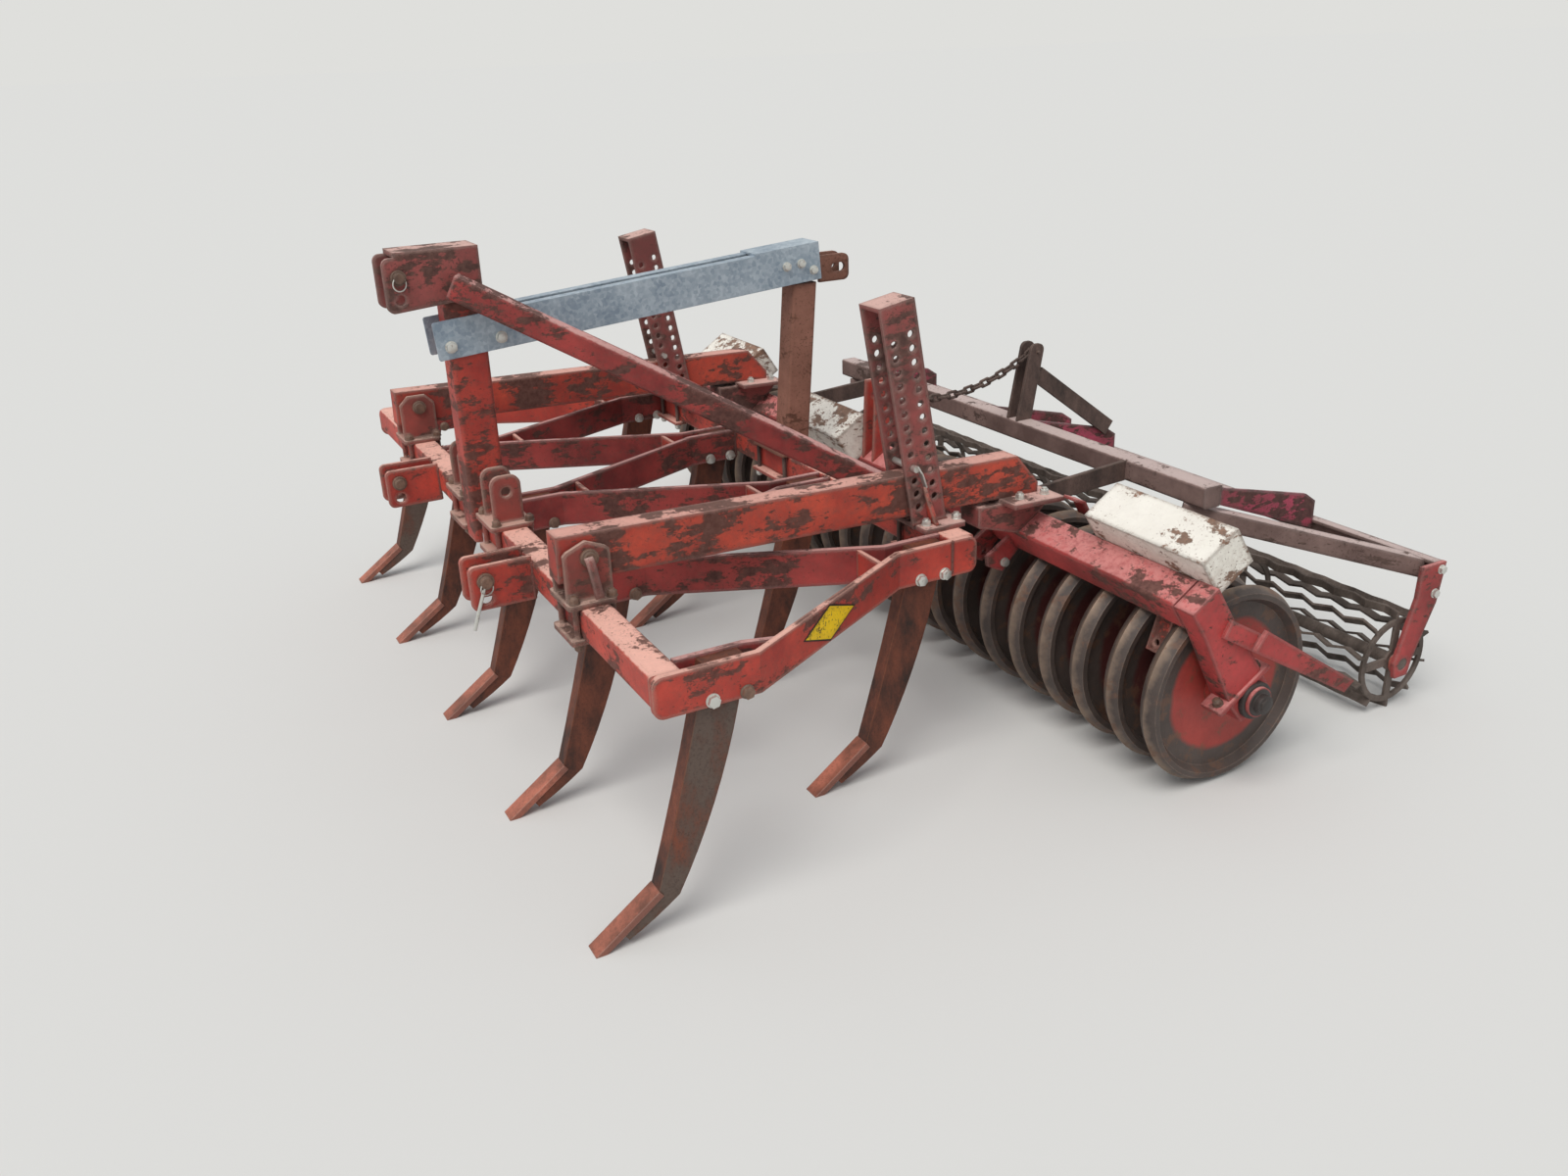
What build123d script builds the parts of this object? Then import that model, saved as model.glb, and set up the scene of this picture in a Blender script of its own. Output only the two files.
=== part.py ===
from build123d import *
import os
from math import atan2, cos, degrees, hypot, radians, sin, tan

os.makedirs("parts", exist_ok=True)

# Field cultivator with two rows of rigid tines, a ring packer and a cage roller.
# Millimetres. Forward is -Y, the machine's left is +X, up is +Z, the ground is Z = 0.
# Heights are absolute. Fore-and-aft sizes are measured from the front beam's centre line.

# Front and rear cross beams
front_beam_y = -970.2
beam_spacing = 897.0
beam_side = 70.0
beam_corner = 8.0
beam_z = 556.0

# Tines: rigid shanks that lean forward, each held between two plates
tine_pitch = 582.5
front_tine_count = 5
rear_tine_setback = 675.0
shank_thickness = 40.0
shank_top_z = 585.0
shank_width = 90.0
shank_top_front_y = 82.0
shank_bow_front = 5.0
shank_bow_rear = 24.0
point_top_y = -50.0
point_top_z = 107.0
point_tip_y = -199.0
point_thickness = 16.0
point_width = 46.0
point_edge = 6.0
foot_reach = 112.0
foot_tip_depth = 17.0
foot_bow = 6.0
heel_y = -5.0
heel_z = 84.0

# Flat frame plates on edge, straight, diagonal, straight
plate_thickness = 15.0
plate_height = 90.0
plate_corner = 22.0
bend_front_y = 195.0
bend_rear_y = 709.0
short_plate_bend_y = 186.0
short_plate_end_y = 240.0
web_thickness = 10.0
web_height = 70.0
web_drop = 4.0
front_web_y = 266.0
rear_web_y = 650.0

# Lower link brackets and the loose pins of the hitch
link_span = 870.0
link_plate_thickness = 12.0
link_outer_width = 88.0
link_front_y = -186.0
link_low_z = 496.0
link_high_z = 605.0
link_hole_y = -150.0
link_upper_z = 568.0
link_lower_z = 522.0
link_corner = 16.0
pin_diameter = 28.0
pin_play = 0.3
pin_overhang = 20.0
pin_head_gap = 2.0
pin_head_rim = 6.0
pin_head_length = 8.0

# Mast, its head and the diagonal stays
mast_width = 84.0
mast_front_y = -55.0
mast_rear_y = 42.0
mast_corner = 10.0
mast_foot_z = 502.0
mast_top_drop = 30.0
head_high_z = 1252.0
head_height = 132.0
head_low_z = head_high_z - head_height
head_front_y = -193.0
head_rear_y = 43.0
head_plate_thickness = 12.0
head_cap_thickness = 12.0
head_corner = 18.0
head_rear_rise = 20.0
head_cap_setback = 30.0
top_link_y = -159.0
top_pin_drop = 46.0
top_link_pin_z = head_high_z - top_pin_drop
top_hole_drop = 100.0
top_link_hole_z = head_high_z - top_hole_drop
top_pin_diameter = 25.0
stay_width = 50.0
stay_height = 60.0
stay_corner = 8.0
stay_top_x = 82.0
stay_top_y = -38.0
stay_top_drop = 74.0
stay_top_z = head_high_z - stay_top_drop
stay_foot_x = 592.0
stay_foot_y = 872.0
stay_foot_z = 606.0
stay_pad_margin = 20.0
stay_pad_rise = 6.0

# Clevis clamps on the front beam beside the mast
clevis_left_x = 168.0
clevis_right_x = -131.0
clamp_plate_thickness = 12.0
clamp_plate_width = 146.0
clamp_front_y = -61.0
clamp_rear_y = 51.0
clamp_plate_corner = 8.0
clamp_rod_diameter = 14.0
clamp_rod_overhang = 16.0
rod_beam_gap = 1.0
clevis_ear_height = 122.0
clevis_ear_width = 78.0
clevis_ear_setback = 17.0
clevis_ear_offset = 41.0
clevis_ear_thickness = 10.0
clevis_hole_diameter = 25.5
clevis_hole_z = 683.0

# Packer arms, their clamps and the perforated posts
arm_x = 750.0
arm_width = 60.0
arm_height = 104.0
arm_front_y = -65.0
arm_front_z = 698.0
arm_rear_y = 1216.0
arm_rear_z = 664.0
arm_slope_back = 70.0
arm_rear_lip = 26.0
arm_pivot_y = 0.0
arm_pivot_z = 700.0
arm_side_gap = 6.0
arm_clamp_width = 130.0
arm_ear_thickness = 10.0
arm_ear_top_z = 736.0
arm_ear_front_y = -57.0
arm_ear_rear_y = 49.0
arm_ear_corner = 26.0
arm_pin_overhang = 14.0
post_plate_thickness = 8.0
post_plate_width = 96.0
post_lean = 10.0
post_foot_y = 875.0
post_base_thickness = 12.0
post_length = 545.0
post_hole_diameter = 17.0
post_hole_pitch = 34.0
post_hole_rows = 13
post_first_hole = 62.0
post_column_offset = 24.0
post_stagger = 12.0
post_cap_thickness = 10.0
post_base_front_y = 831.0
post_base_rear_y = 950.0
post_base_width = 182.0
stop_pin_diameter = 16.0
stop_pin_row = 3
stop_pin_overhang = 16.0
mount_plate_thickness = 12.0
mount_plate_width = 190.0
mount_block_width = 80.0
mount_front_y = 1026.0
mount_front_low_z = 552.0
mount_plate_front_y = 1094.0
mount_rear_y = 1250.0

# Two channels from the mast back to the rear clevis
channel_web = 5.0
channel_height = 97.0
channel_corner = 6.0
channel_flange = 34.0
channel_front_y = -93.0
channel_rear_y = 1003.0
channel_front_top_z = 1088.0
channel_rear_top_z = 1175.0
channel_flange_start = 150.0
top_cover_front_y = 804.0
top_cover_thickness = 6.0
rear_clevis_end_y = 1108.0
rear_clevis_low_z = 1065.0
rear_clevis_high_z = 1139.0
rear_clevis_thickness = 12.0
rear_clevis_gap = 42.0
rear_clevis_slot_y = 1074.0
rear_clevis_slot_length = 44.0
rear_clevis_slot_diameter = 25.5
rear_clevis_root = 90.0
rear_clevis_step_y = 9.0
rear_clevis_step_z = 30.0
rear_clevis_corner = 18.0
rear_clevis_pin_back = 60.0
rear_clevis_pin_diameter = 24.0
rear_post_width = 75.0
rear_post_lean = 5.0
rear_post_foot_y = 922.0
rear_post_top_z = 1068.0
rear_post_corner = 8.0
rear_post_base_width = 190.0
rear_post_base_thickness = 12.0
rear_post_spare = 40.0

# Packer frame: a square tube standing on one corner turned by its tilt
tube_y = 1207.0
tube_z = 503.0
tube_side = 85.0
tube_tilt = 33.0
tube_half_length = 1340.0
tube_corner = 8.0
end_arm_thickness = 58.0
packer_axle_y = 1366.0
packer_axle_z = 250.0
side_bar_thickness = 12.0
end_arm_x = 1345.0
journal_play = 0.3
bearing_cap_depth = 22.0
bearing_cap_rim = 12.0
journal_inset = 2.0
end_arm_foot = ((-66.0, -8.0), (-30.0, -52.0), (42.0, -30.0), (48.0, 24.0))
upper_bar_outline = ((1262.0, 479.0), (1240.0, 440.0), (1400.0, 345.0), (1424.0, 384.0))
lower_bar_outline = ((1363.0, 433.0), (1330.0, 387.0), (1655.0, 197.0), (1685.0, 221.0))
lug_x_place = 625.0
lug_gap = 22.0
lug_thickness = 12.0
hinge_pin_diameter = 24.0
hinge_lug_nose = ((16.0, -22.0), (24.0, 10.0), (0.0, 26.0))
rings_before_lug_count = 16
front_lug_gap = 75.0
front_lug_thickness = 12.0
front_lug_nose = ((1094.0, 442.0), (1099.0, 414.0), (1145.0, 392.0))
front_lug_hole_y = 1151.0
front_lug_hole_z = 417.0
front_lug_hole_diameter = 17.0
tab_ring = 21
tab_width = 52.0
tab_thickness = 10.0
tab_foot_y = 1199.0
tab_foot_z = 351.0
tab_root = 14.0
tab_hole_rise = 24.0
tab_hole_diameter = 16.0
upright_top_y = 1200.0
upright_top_z = 760.0
upright_hole_y = 1200.0
upright_hole_z = 712.0
upright_hole_diameter = 22.0
upright_top_half = 34.0
upright_foot_inset = 8.0
upright_x = 50.0
upright_thickness = 8.0
upright_gap = 46.0

# Weights bolted to the tube, in the tube's own turned directions
weight_depth = 116.0
weight_height = 105.0
weight_low = 8.0
weight_top_shift = -10.0
# left end, right end, face of the tube
weight_rows = ((1000.0, 1385.0, "rear"), (-330.0, 10.0, "top"), (-1200.0, -860.0, "rear"))

# Ring packer
ring_count = 22
ring_pitch = 125.0
ring_diameter = 500.0
ring_rim_width = 50.0
ring_bevel = 14.0
ring_rim_depth = 26.0
ring_disc_thickness = 10.0
packer_shaft_diameter = 130.0
packer_journal_diameter = 50.0

# Crumbler frame and its cage roller
crumbler_hinge_y = 1290.0
crumbler_hinge_z = 528.0
crumbler_beam_y = 1680.0
crumbler_beam_z = 550.0
crumbler_beam_side = 60.0
crumbler_beam_half_length = 932.0
crumbler_beam_corner = 7.0
rail_y = 2095.0
rail_z = 382.0
rail_height = 50.0
rail_depth = 30.0
rail_thickness = 8.0
brace_depth = 50.0
brace_thickness = 36.0
brace_start_x = 850.0
brace_start_y = 1655.0
brace_end_inset = 20.0
brace_end_drop = 4.0
bracket_thickness = 10.0
bracket_x = (-927.0, -110.0, 110.0, 927.0)
bracket_top_z = 570.0
bracket_low_z = 522.0
bracket_shoulder_y = 2040.0
bracket_shoulder_z = 491.0
bracket_over_rail = 57.0
drag_arm_thickness = 12.0
drag_arm_eye_radius = 26.0
drag_arm_rear_half = 29.0
tower_x = 110.0
tower_gap = 36.0
tower_bar_thickness = 10.0
tower_top_y = 1722.0
tower_top_z = 815.0
tower_bolt_drop = 26.0
tower_bolt_diameter = 10.0
tower_bolt_overhang = 8.0
tower_foot_front = 28.0
tower_foot_rear = 26.0
tower_top_front = 24.0
tower_top_rear = 26.0
tower_round = 20.0
strut_depth = 50.0
strut_top_drop = 100.0
strut_top_setback = 14.0
strut_foot_y = 2040.0
strut_foot_z = 494.0
cage_end_gap = 18.0
cage_arm_head = ((2020.0, 322.0), (2022.0, 407.0), (2112.0, 407.0), (2098.0, 296.0))
cage_arm_foot = ((34.0, 8.0), (24.0, -36.0), (-24.0, -36.0), (-34.0, 8.0))
cage_stub_diameter = 34.0
cage_stub_inset = 1.0
cage_ring_count = 6
cage_ring_width = 14.0
cage_spoke_count = 4
cage_spoke_width = 22.0
chain_end_y = 1222.0
chain_end_z = 712.0
chain_sag = 64.0
link_play = 0.9
cage_y = 2003.0
cage_z = 140.0
cage_diameter = 280.0
cage_half_length = 1300.0
cage_bar_count = 10
cage_bar_depth = 22.0
cage_bar_thickness = 7.0
cage_wave_pitch = 100.0
cage_wave_height = 14.0
cage_ring_thickness = 8.0
cage_hub_diameter = 60.0
cage_end_arm_thickness = 12.0
cage_weld_sink = 1.0

# Chain
link_wire = 7.0
link_inner_length = 30.0
link_inner_width = 11.0
link_end_bevel = 8.0
chain_steps = 8000

# Places that follow from the sizes above
half_beam = beam_side / 2
beam_top_z = beam_z + half_beam
beam_low_z = beam_z - half_beam
plate_offset = (shank_thickness + plate_thickness) / 2
plate_low_z = beam_top_z - plate_height
front_tine_x = [(i - (front_tine_count - 1) / 2) * tine_pitch for i in range(front_tine_count)]
rear_tine_x = [x + tine_pitch / 2 for x in front_tine_x[:-1]]
channel_tilt = degrees(atan2(channel_rear_top_z - channel_front_top_z, channel_rear_y - channel_front_y))
arm_tilt = degrees(atan2(arm_rear_z - arm_front_z, arm_rear_y - arm_front_y))
ring_x = [(i - (ring_count - 1) / 2) * ring_pitch for i in range(ring_count)]
cage_end_arm_x = cage_half_length + cage_end_gap
cage_stub_half = cage_end_arm_x + cage_end_arm_thickness - cage_stub_inset
cage_ring_reach = cage_half_length - cage_ring_thickness / 2
cage_ring_x = [(2 * i / (cage_ring_count - 1) - 1) * cage_ring_reach for i in range(cage_ring_count)]
rail_half_length = cage_end_arm_x
brace_end_x = cage_half_length - brace_end_inset


def side(x, y=0.0, z=0.0, turn=0.0):
    """Upright plane at X = x: its own x runs rearward, its y up, turned about X."""
    c, s = cos(radians(turn)), sin(radians(turn))
    return Plane(origin=(x, front_beam_y + y, z), x_dir=(0, c, s), z_dir=(1, 0, 0))


def level(z, y=0.0):
    """Level plane at height z whose origin is y behind the front beam."""
    return Plane.XY.offset(z).move(Location((0, front_beam_y + y, 0)))


def save(piece, name):
    piece.part.label = name
    export_step(piece.part, f"parts/{name}.step")


# Cross beams

def cross_beam(name, y, z, half_length, side_length, corner, turn=0.0):
    with BuildPart() as beam:
        with BuildSketch(side(0, y, z, turn)):
            RectangleRounded(side_length, side_length, corner)
        extrude(amount=half_length, both=True)
    save(beam, name)


end_plate_inner_x = front_tine_x[-1] + plate_offset - plate_thickness / 2
rear_end_plate_inner_x = rear_tine_x[-1] + plate_offset - plate_thickness / 2
cross_beam("front_beam", 0.0, beam_z, end_plate_inner_x, beam_side, beam_corner)
cross_beam("rear_beam", beam_spacing, beam_z, rear_end_plate_inner_x, beam_side, beam_corner)


# Frame plates

def strip(path, width):
    """Outline of a flat strip that follows a path, with mitred bends."""
    left, right = [], []
    for i, (px, py) in enumerate(path):
        ax, ay = path[max(i - 1, 0)]
        bx, by = path[min(i + 1, len(path) - 1)]
        n1 = (-(py - ay), px - ax) if i else (-(by - py), bx - px)
        n2 = (-(by - py), bx - px) if i < len(path) - 1 else n1
        n1 = [v / hypot(*n1) for v in n1]
        n2 = [v / hypot(*n2) for v in n2]
        mx, my = n1[0] + n2[0], n1[1] + n2[1]
        reach = width / (mx * mx + my * my)
        left.append((px + mx * reach, py + my * reach))
        right.append((px - mx * reach, py - my * reach))
    return left + right[::-1]


def bent_plates(name, front_x, rear_x, front_y, rear_y, corner=0.0):
    """A mirrored pair of plates from front_x to rear_x."""
    with BuildPart() as plates:
        with BuildSketch(level(plate_low_z)):
            with BuildLine():
                path = [(front_x, front_y), (front_x, bend_front_y), (rear_x, bend_rear_y), (rear_x, rear_y)]
                Polyline(*strip(path, plate_thickness), close=True)
            make_face()
        extrude(amount=plate_height)
        if corner:
            ends = plates.edges().filter_by(Axis.X).group_by(Axis.Y)
            fillet(ends[0] + ends[-1], radius=corner)
        mirror(about=Plane.YZ)
    save(plates, name)


beam_back_y = half_beam
rear_beam_front_y = beam_spacing - half_beam
rear_beam_back_y = beam_spacing + half_beam
outer_x = front_tine_x[4] + plate_offset
bent_plates("plates_outer", outer_x, rear_tine_x[3] + plate_offset, -half_beam, rear_beam_back_y, plate_corner)
bent_plates("plates_second", front_tine_x[3] + plate_offset, rear_tine_x[3] - plate_offset, beam_back_y, rear_beam_front_y)
bent_plates("plates_third", front_tine_x[3] - plate_offset, rear_tine_x[2] + plate_offset, beam_back_y, rear_beam_front_y)
bent_plates("plates_inner", plate_offset, rear_tine_x[2] - plate_offset, beam_back_y, rear_beam_front_y)


def along(front_x, rear_x, y):
    """Centre line X of a bent plate at a fore-and-aft place between its bends."""
    return front_x + (rear_x - front_x) * (y - bend_front_y) / (bend_rear_y - bend_front_y)


def half_thickness_across(front_x, rear_x):
    run = bend_rear_y - bend_front_y
    return plate_thickness / 2 * hypot(run, rear_x - front_x) / run


outer_half = half_thickness_across(outer_x, rear_tine_x[3] + plate_offset)
with BuildPart() as short_plates:
    with BuildSketch(level(plate_low_z)):
        with BuildLine():
            inner_x = front_tine_x[4] - plate_offset
            meet_x = along(outer_x, rear_tine_x[3] + plate_offset, short_plate_end_y) - outer_half
            left_x = inner_x - plate_thickness / 2
            right_x = inner_x + plate_thickness / 2
            meet_back_y = short_plate_end_y + plate_thickness
            meet_back_x = along(outer_x, rear_tine_x[3] + plate_offset, meet_back_y) - outer_half
            Polyline((left_x, beam_back_y), (right_x, beam_back_y), (right_x, short_plate_bend_y),
                     (meet_x, short_plate_end_y), (meet_back_x, meet_back_y),
                     (left_x, short_plate_bend_y + plate_thickness / 4), close=True)
        make_face()
    extrude(amount=plate_height)
    mirror(about=Plane.YZ)
save(short_plates, "plates_short")

# Webs between the diverging plates, behind the inner front tines and before the rear tines
half_pitch = tine_pitch / 2
web_spans = [("front", x, x - plate_offset, x - half_pitch + plate_offset,
              x + plate_offset, x + half_pitch - plate_offset, front_web_y) for x in front_tine_x[1:-1]]
web_spans += [("rear", x, x - half_pitch + plate_offset, x - plate_offset,
               x + half_pitch - plate_offset, x + plate_offset, rear_web_y) for x in rear_tine_x]
with BuildPart() as webs:
    for row, x, left_front, left_rear, right_front, right_rear, web_y in web_spans:
        if row == "rear" and x == rear_tine_x[3]:
            right_front = outer_x
        if row == "rear" and x == rear_tine_x[0]:
            left_front = -outer_x
        near_y, far_y = web_y - web_thickness / 2, web_y + web_thickness / 2
        left_half = half_thickness_across(left_front, left_rear)
        right_half = half_thickness_across(right_front, right_rear)
        with BuildSketch(level(beam_top_z - web_drop - web_height)):
            with BuildLine():
                Polyline((along(left_front, left_rear, near_y) + left_half, near_y),
                         (along(right_front, right_rear, near_y) - right_half, near_y),
                         (along(right_front, right_rear, far_y) - right_half, far_y),
                         (along(left_front, left_rear, far_y) + left_half, far_y), close=True)
            make_face()
        extrude(amount=web_height)
save(webs, "plate_webs")


# Tines and their bolted points

point_slope = atan2(point_top_z, point_top_y - point_tip_y)
slope_cos, slope_sin = cos(point_slope), sin(point_slope)


def on_point(run, depth):
    """Place on the share: run down its top face from the upper end, depth under that face."""
    return (point_top_y - run * slope_cos + depth * slope_sin,
            point_top_z - run * slope_sin - depth * slope_cos)


def middle(a, b, bow):
    """Middle of a chord, pushed rearward by its bow."""
    return ((a[0] + b[0]) / 2 + bow, (a[1] + b[1]) / 2)


def tines(name, places, setback):
    """Forged shanks whose foot curves forward under the share."""
    with BuildPart() as row:
        with BuildSketch(*[side(x, setback) for x in places]):
            with BuildLine():
                top_front = (shank_top_front_y, shank_top_z)
                top_rear = (shank_top_front_y + shank_width, shank_top_z)
                seat_top = on_point(0, 0)
                seat_low = on_point(0, point_thickness)
                foot_top = on_point(foot_reach, point_thickness)
                foot_low = on_point(foot_reach, point_thickness + foot_tip_depth)
                heel = (heel_y, heel_z)
                Line(top_rear, top_front)
                ThreePointArc(top_front, middle(top_front, seat_top, shank_bow_front), seat_top)
                Polyline(seat_top, seat_low, foot_top, foot_low)
                ThreePointArc(foot_low, middle(foot_low, heel, foot_bow), heel)
                ThreePointArc(heel, middle(heel, top_rear, shank_bow_rear), top_rear)
            make_face()
        extrude(amount=shank_thickness / 2, both=True)
    save(row, name)


def points(name, places, setback):
    """Flat shares with a bevelled nose and a level worn underside at the tip."""
    with BuildPart() as row:
        with BuildSketch(*[side(x, setback) for x in places]):
            with BuildLine():
                back_low = on_point(0, point_thickness)
                under_run = (back_low[1]) / slope_sin
                Polyline(on_point(0, 0), back_low,
                         (back_low[0] - under_run * slope_cos, 0.0),
                         (point_tip_y, 0.0), close=True)
            make_face()
        extrude(amount=point_width / 2, both=True)
        noses = row.edges().filter_by(Axis.X).group_by(Axis.Y)[0]
        chamfer(noses, length=point_edge / 3)
    save(row, name)


tines("front_tines", front_tine_x, 0.0)
tines("rear_tines", rear_tine_x, rear_tine_setback)
points("front_points", front_tine_x, 0.0)
points("rear_points", rear_tine_x, rear_tine_setback)


# Lower link brackets and hitch pins

def link_bracket(name, x):
    """Two plates with an upper and a lower pin hole, welded to the front beam."""
    with BuildPart() as bracket:
        inner = link_outer_width / 2 - link_plate_thickness
        with BuildSketch(side(x - link_outer_width / 2), side(x + inner)):
            with BuildLine():
                Polyline((link_front_y, link_low_z), (-half_beam, link_low_z), (-half_beam, link_high_z),
                         (link_front_y, link_high_z), close=True)
            make_face()
        extrude(amount=link_plate_thickness)
        fillet(bracket.edges().filter_by(Axis.X).group_by(Axis.Y)[0], radius=link_corner)
        with BuildSketch(side(x - link_outer_width)):
            with Locations((link_hole_y, link_upper_z), (link_hole_y, link_lower_z)):
                Circle(pin_diameter / 2 + pin_play)
        extrude(amount=2 * link_outer_width, mode=Mode.SUBTRACT)
    save(bracket, name)


link_bracket("link_bracket_left", link_span / 2)
link_bracket("link_bracket_right", -link_span / 2)

with BuildPart() as hitch_pins:
    for x in (link_span / 2, -link_span / 2):
        with BuildSketch(side(x - link_outer_width / 2 - pin_overhang)):
            with Locations((link_hole_y, link_upper_z)):
                Circle(pin_diameter / 2)
        extrude(amount=link_outer_width + 2 * pin_overhang)
        with BuildSketch(side(x + link_outer_width / 2 + pin_head_gap)):
            with Locations((link_hole_y, link_upper_z)):
                Circle(pin_diameter / 2 + pin_head_rim)
        extrude(amount=pin_head_length)
    head_half = mast_width / 2 + head_plate_thickness
    with BuildSketch(side(-head_half - pin_overhang)):
        with Locations((top_link_y, top_link_pin_z)):
            Circle(top_pin_diameter / 2)
    extrude(amount=2 * (head_half + pin_overhang))
    with BuildSketch(side(head_half + pin_head_gap)):
        with Locations((top_link_y, top_link_pin_z)):
            Circle(top_pin_diameter / 2 + pin_head_rim)
    extrude(amount=pin_head_length)
save(hitch_pins, "hitch_pins")

# Mast with a tongue down the beam's front face
mast_top_z = head_high_z - mast_top_drop
with BuildPart() as mast:
    with BuildSketch(side(0)):
        with BuildLine():
            Polyline((mast_front_y, mast_foot_z), (-half_beam, mast_foot_z), (-half_beam, beam_top_z),
                     (mast_rear_y, beam_top_z), (mast_rear_y, mast_top_z), (mast_front_y, mast_top_z), close=True)
        make_face()
    extrude(amount=mast_width / 2, both=True)
    upright_edges = mast.edges().filter_by(Axis.Z).group_by(Axis.Y)
    fillet(upright_edges[0] + upright_edges[-1], radius=mast_corner)
save(mast, "mast")

with BuildPart() as mast_head:
    half = mast_width / 2
    with BuildSketch(side(half), side(-half - head_plate_thickness)):
        with BuildLine():
            Polyline((head_front_y, head_low_z), (head_rear_y, head_low_z + head_rear_rise), (head_rear_y, head_high_z),
                     (head_front_y, head_high_z), close=True)
        make_face()
    extrude(amount=head_plate_thickness)
    fillet(mast_head.edges().filter_by(Axis.X).group_by(Axis.Y)[0], radius=head_corner)
    with BuildSketch(side(-half - head_plate_thickness)):
        with BuildLine():
            Polyline((head_front_y + head_cap_setback, head_high_z), (head_rear_y, head_high_z),
                     (head_rear_y, head_high_z + head_cap_thickness),
                     (head_front_y + head_cap_setback, head_high_z + head_cap_thickness), close=True)
        make_face()
    extrude(amount=mast_width + 2 * head_plate_thickness)
    with BuildSketch(side(-mast_width)):
        with Locations((top_link_y, top_link_pin_z), (top_link_y, top_link_hole_z)):
            Circle(top_pin_diameter / 2 + pin_play)
    extrude(amount=2 * mast_width, mode=Mode.SUBTRACT)
save(mast_head, "mast_head")


# Diagonal stays from the mast head to the rear beam

def stay_plane(sign):
    start = Vector(sign * stay_top_x, front_beam_y + stay_top_y, stay_top_z)
    end = Vector(sign * stay_foot_x, front_beam_y + stay_foot_y, stay_foot_z + stay_height / 2)
    return Plane(origin=start, x_dir=(end - start).cross(Vector(0, 0, 1)), z_dir=end - start), (end - start).length


with BuildPart() as stays:
    for sign in (1, -1):
        plane, length = stay_plane(sign)
        with BuildSketch(plane):
            RectangleRounded(stay_width, stay_height, stay_corner)
        extrude(amount=length)
    with BuildSketch(level(beam_top_z, stay_foot_y)):
        with Locations((stay_foot_x, 0), (-stay_foot_x, 0)):
            Rectangle(stay_width + stay_pad_margin, stay_width + stay_pad_margin)
    extrude(amount=stay_foot_z + stay_pad_rise - beam_top_z)
save(stays, "stays")


# Clamps on the front beam

def clamp(x, width):
    """Top plate, lower plate and four rods round the beam; the caller adds the ears."""
    centre_y = (clamp_front_y + clamp_rear_y) / 2
    depth = clamp_rear_y - clamp_front_y
    low_z = beam_low_z - clamp_plate_thickness
    with BuildSketch(level(beam_top_z, centre_y), level(low_z, centre_y)) as clamp_plates:
        with Locations((x, 0)):
            RectangleRounded(width, depth, clamp_plate_corner)
    extrude(clamp_plates.sketch, amount=clamp_plate_thickness)
    rod_x = width / 2 - clamp_rod_diameter
    rod_y = half_beam + rod_beam_gap + clamp_rod_diameter / 2
    with BuildSketch(level(low_z - clamp_rod_overhang)) as rods:
        with Locations(*[(x + sx * rod_x, sy * rod_y) for sx in (1, -1) for sy in (1, -1)]):
            Circle(clamp_rod_diameter / 2)
    extrude(rods.sketch, amount=beam_side + 2 * (clamp_plate_thickness + clamp_rod_overhang))


clamp_deck_z = beam_top_z + clamp_plate_thickness
clevis_ear_y = clamp_front_y + clevis_ear_setback + clevis_ear_width / 2
with BuildPart() as clevis_clamps:
    for x in (clevis_left_x, clevis_right_x):
        clamp(x, clamp_plate_width)
        ear_face = clevis_ear_offset - clevis_ear_thickness / 2
        with BuildSketch(side(x + ear_face), side(x - ear_face - clevis_ear_thickness)):
            with Locations((clevis_ear_y, clamp_deck_z + clevis_ear_height / 2)):
                Rectangle(clevis_ear_width, clevis_ear_height)
        extrude(amount=clevis_ear_thickness)
        ear_tops = clevis_clamps.edges().filter_by(Axis.X).group_by(Axis.Z)[-1]
        fillet(ear_tops, radius=clevis_ear_width / 3)
        with BuildSketch(side(x - clamp_plate_width / 2)):
            with Locations((clevis_ear_y, clevis_hole_z)):
                Circle(clevis_hole_diameter / 2)
        extrude(amount=clamp_plate_width, mode=Mode.SUBTRACT)
save(clevis_clamps, "clevis_clamps")

ear_inner = arm_width / 2 + arm_side_gap
with BuildPart() as arm_clamps:
    for x in (arm_x, -arm_x):
        clamp(x, arm_clamp_width)
        with BuildSketch(side(x + ear_inner), side(x - ear_inner - arm_ear_thickness)):
            with BuildLine():
                Polyline((arm_ear_front_y, clamp_deck_z), (arm_ear_rear_y, clamp_deck_z),
                         (arm_ear_rear_y, arm_ear_top_z), (arm_ear_front_y, arm_ear_top_z), close=True)
            make_face()
        extrude(amount=arm_ear_thickness)
        ear_tops = arm_clamps.edges().filter_by(Axis.X).group_by(Axis.Z)[-1]
        chamfer(ear_tops, length=arm_ear_corner)
        with BuildSketch(side(x - arm_clamp_width / 2)):
            with Locations((arm_pivot_y, arm_pivot_z)):
                Circle(pin_diameter / 2 + pin_play)
        extrude(amount=arm_clamp_width, mode=Mode.SUBTRACT)
save(arm_clamps, "arm_clamps")

with BuildPart() as arm_pins:
    for x in (arm_x, -arm_x):
        pin_half = ear_inner + arm_ear_thickness + arm_pin_overhang
        with BuildSketch(side(x - pin_half)):
            with Locations((arm_pivot_y, arm_pivot_z)):
                Circle(pin_diameter / 2)
        extrude(amount=2 * pin_half)
        with BuildSketch(side(x + ear_inner + arm_ear_thickness + pin_head_gap)):
            with Locations((arm_pivot_y, arm_pivot_z)):
                Circle(pin_diameter / 2 + pin_head_rim)
        extrude(amount=pin_head_length)
save(arm_pins, "arm_pins")


# Perforated depth posts: two plates beside the arm under a sloping cap

post_inner = arm_width / 2 + arm_side_gap
post_foot_z = beam_top_z + post_base_thickness / 2


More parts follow.
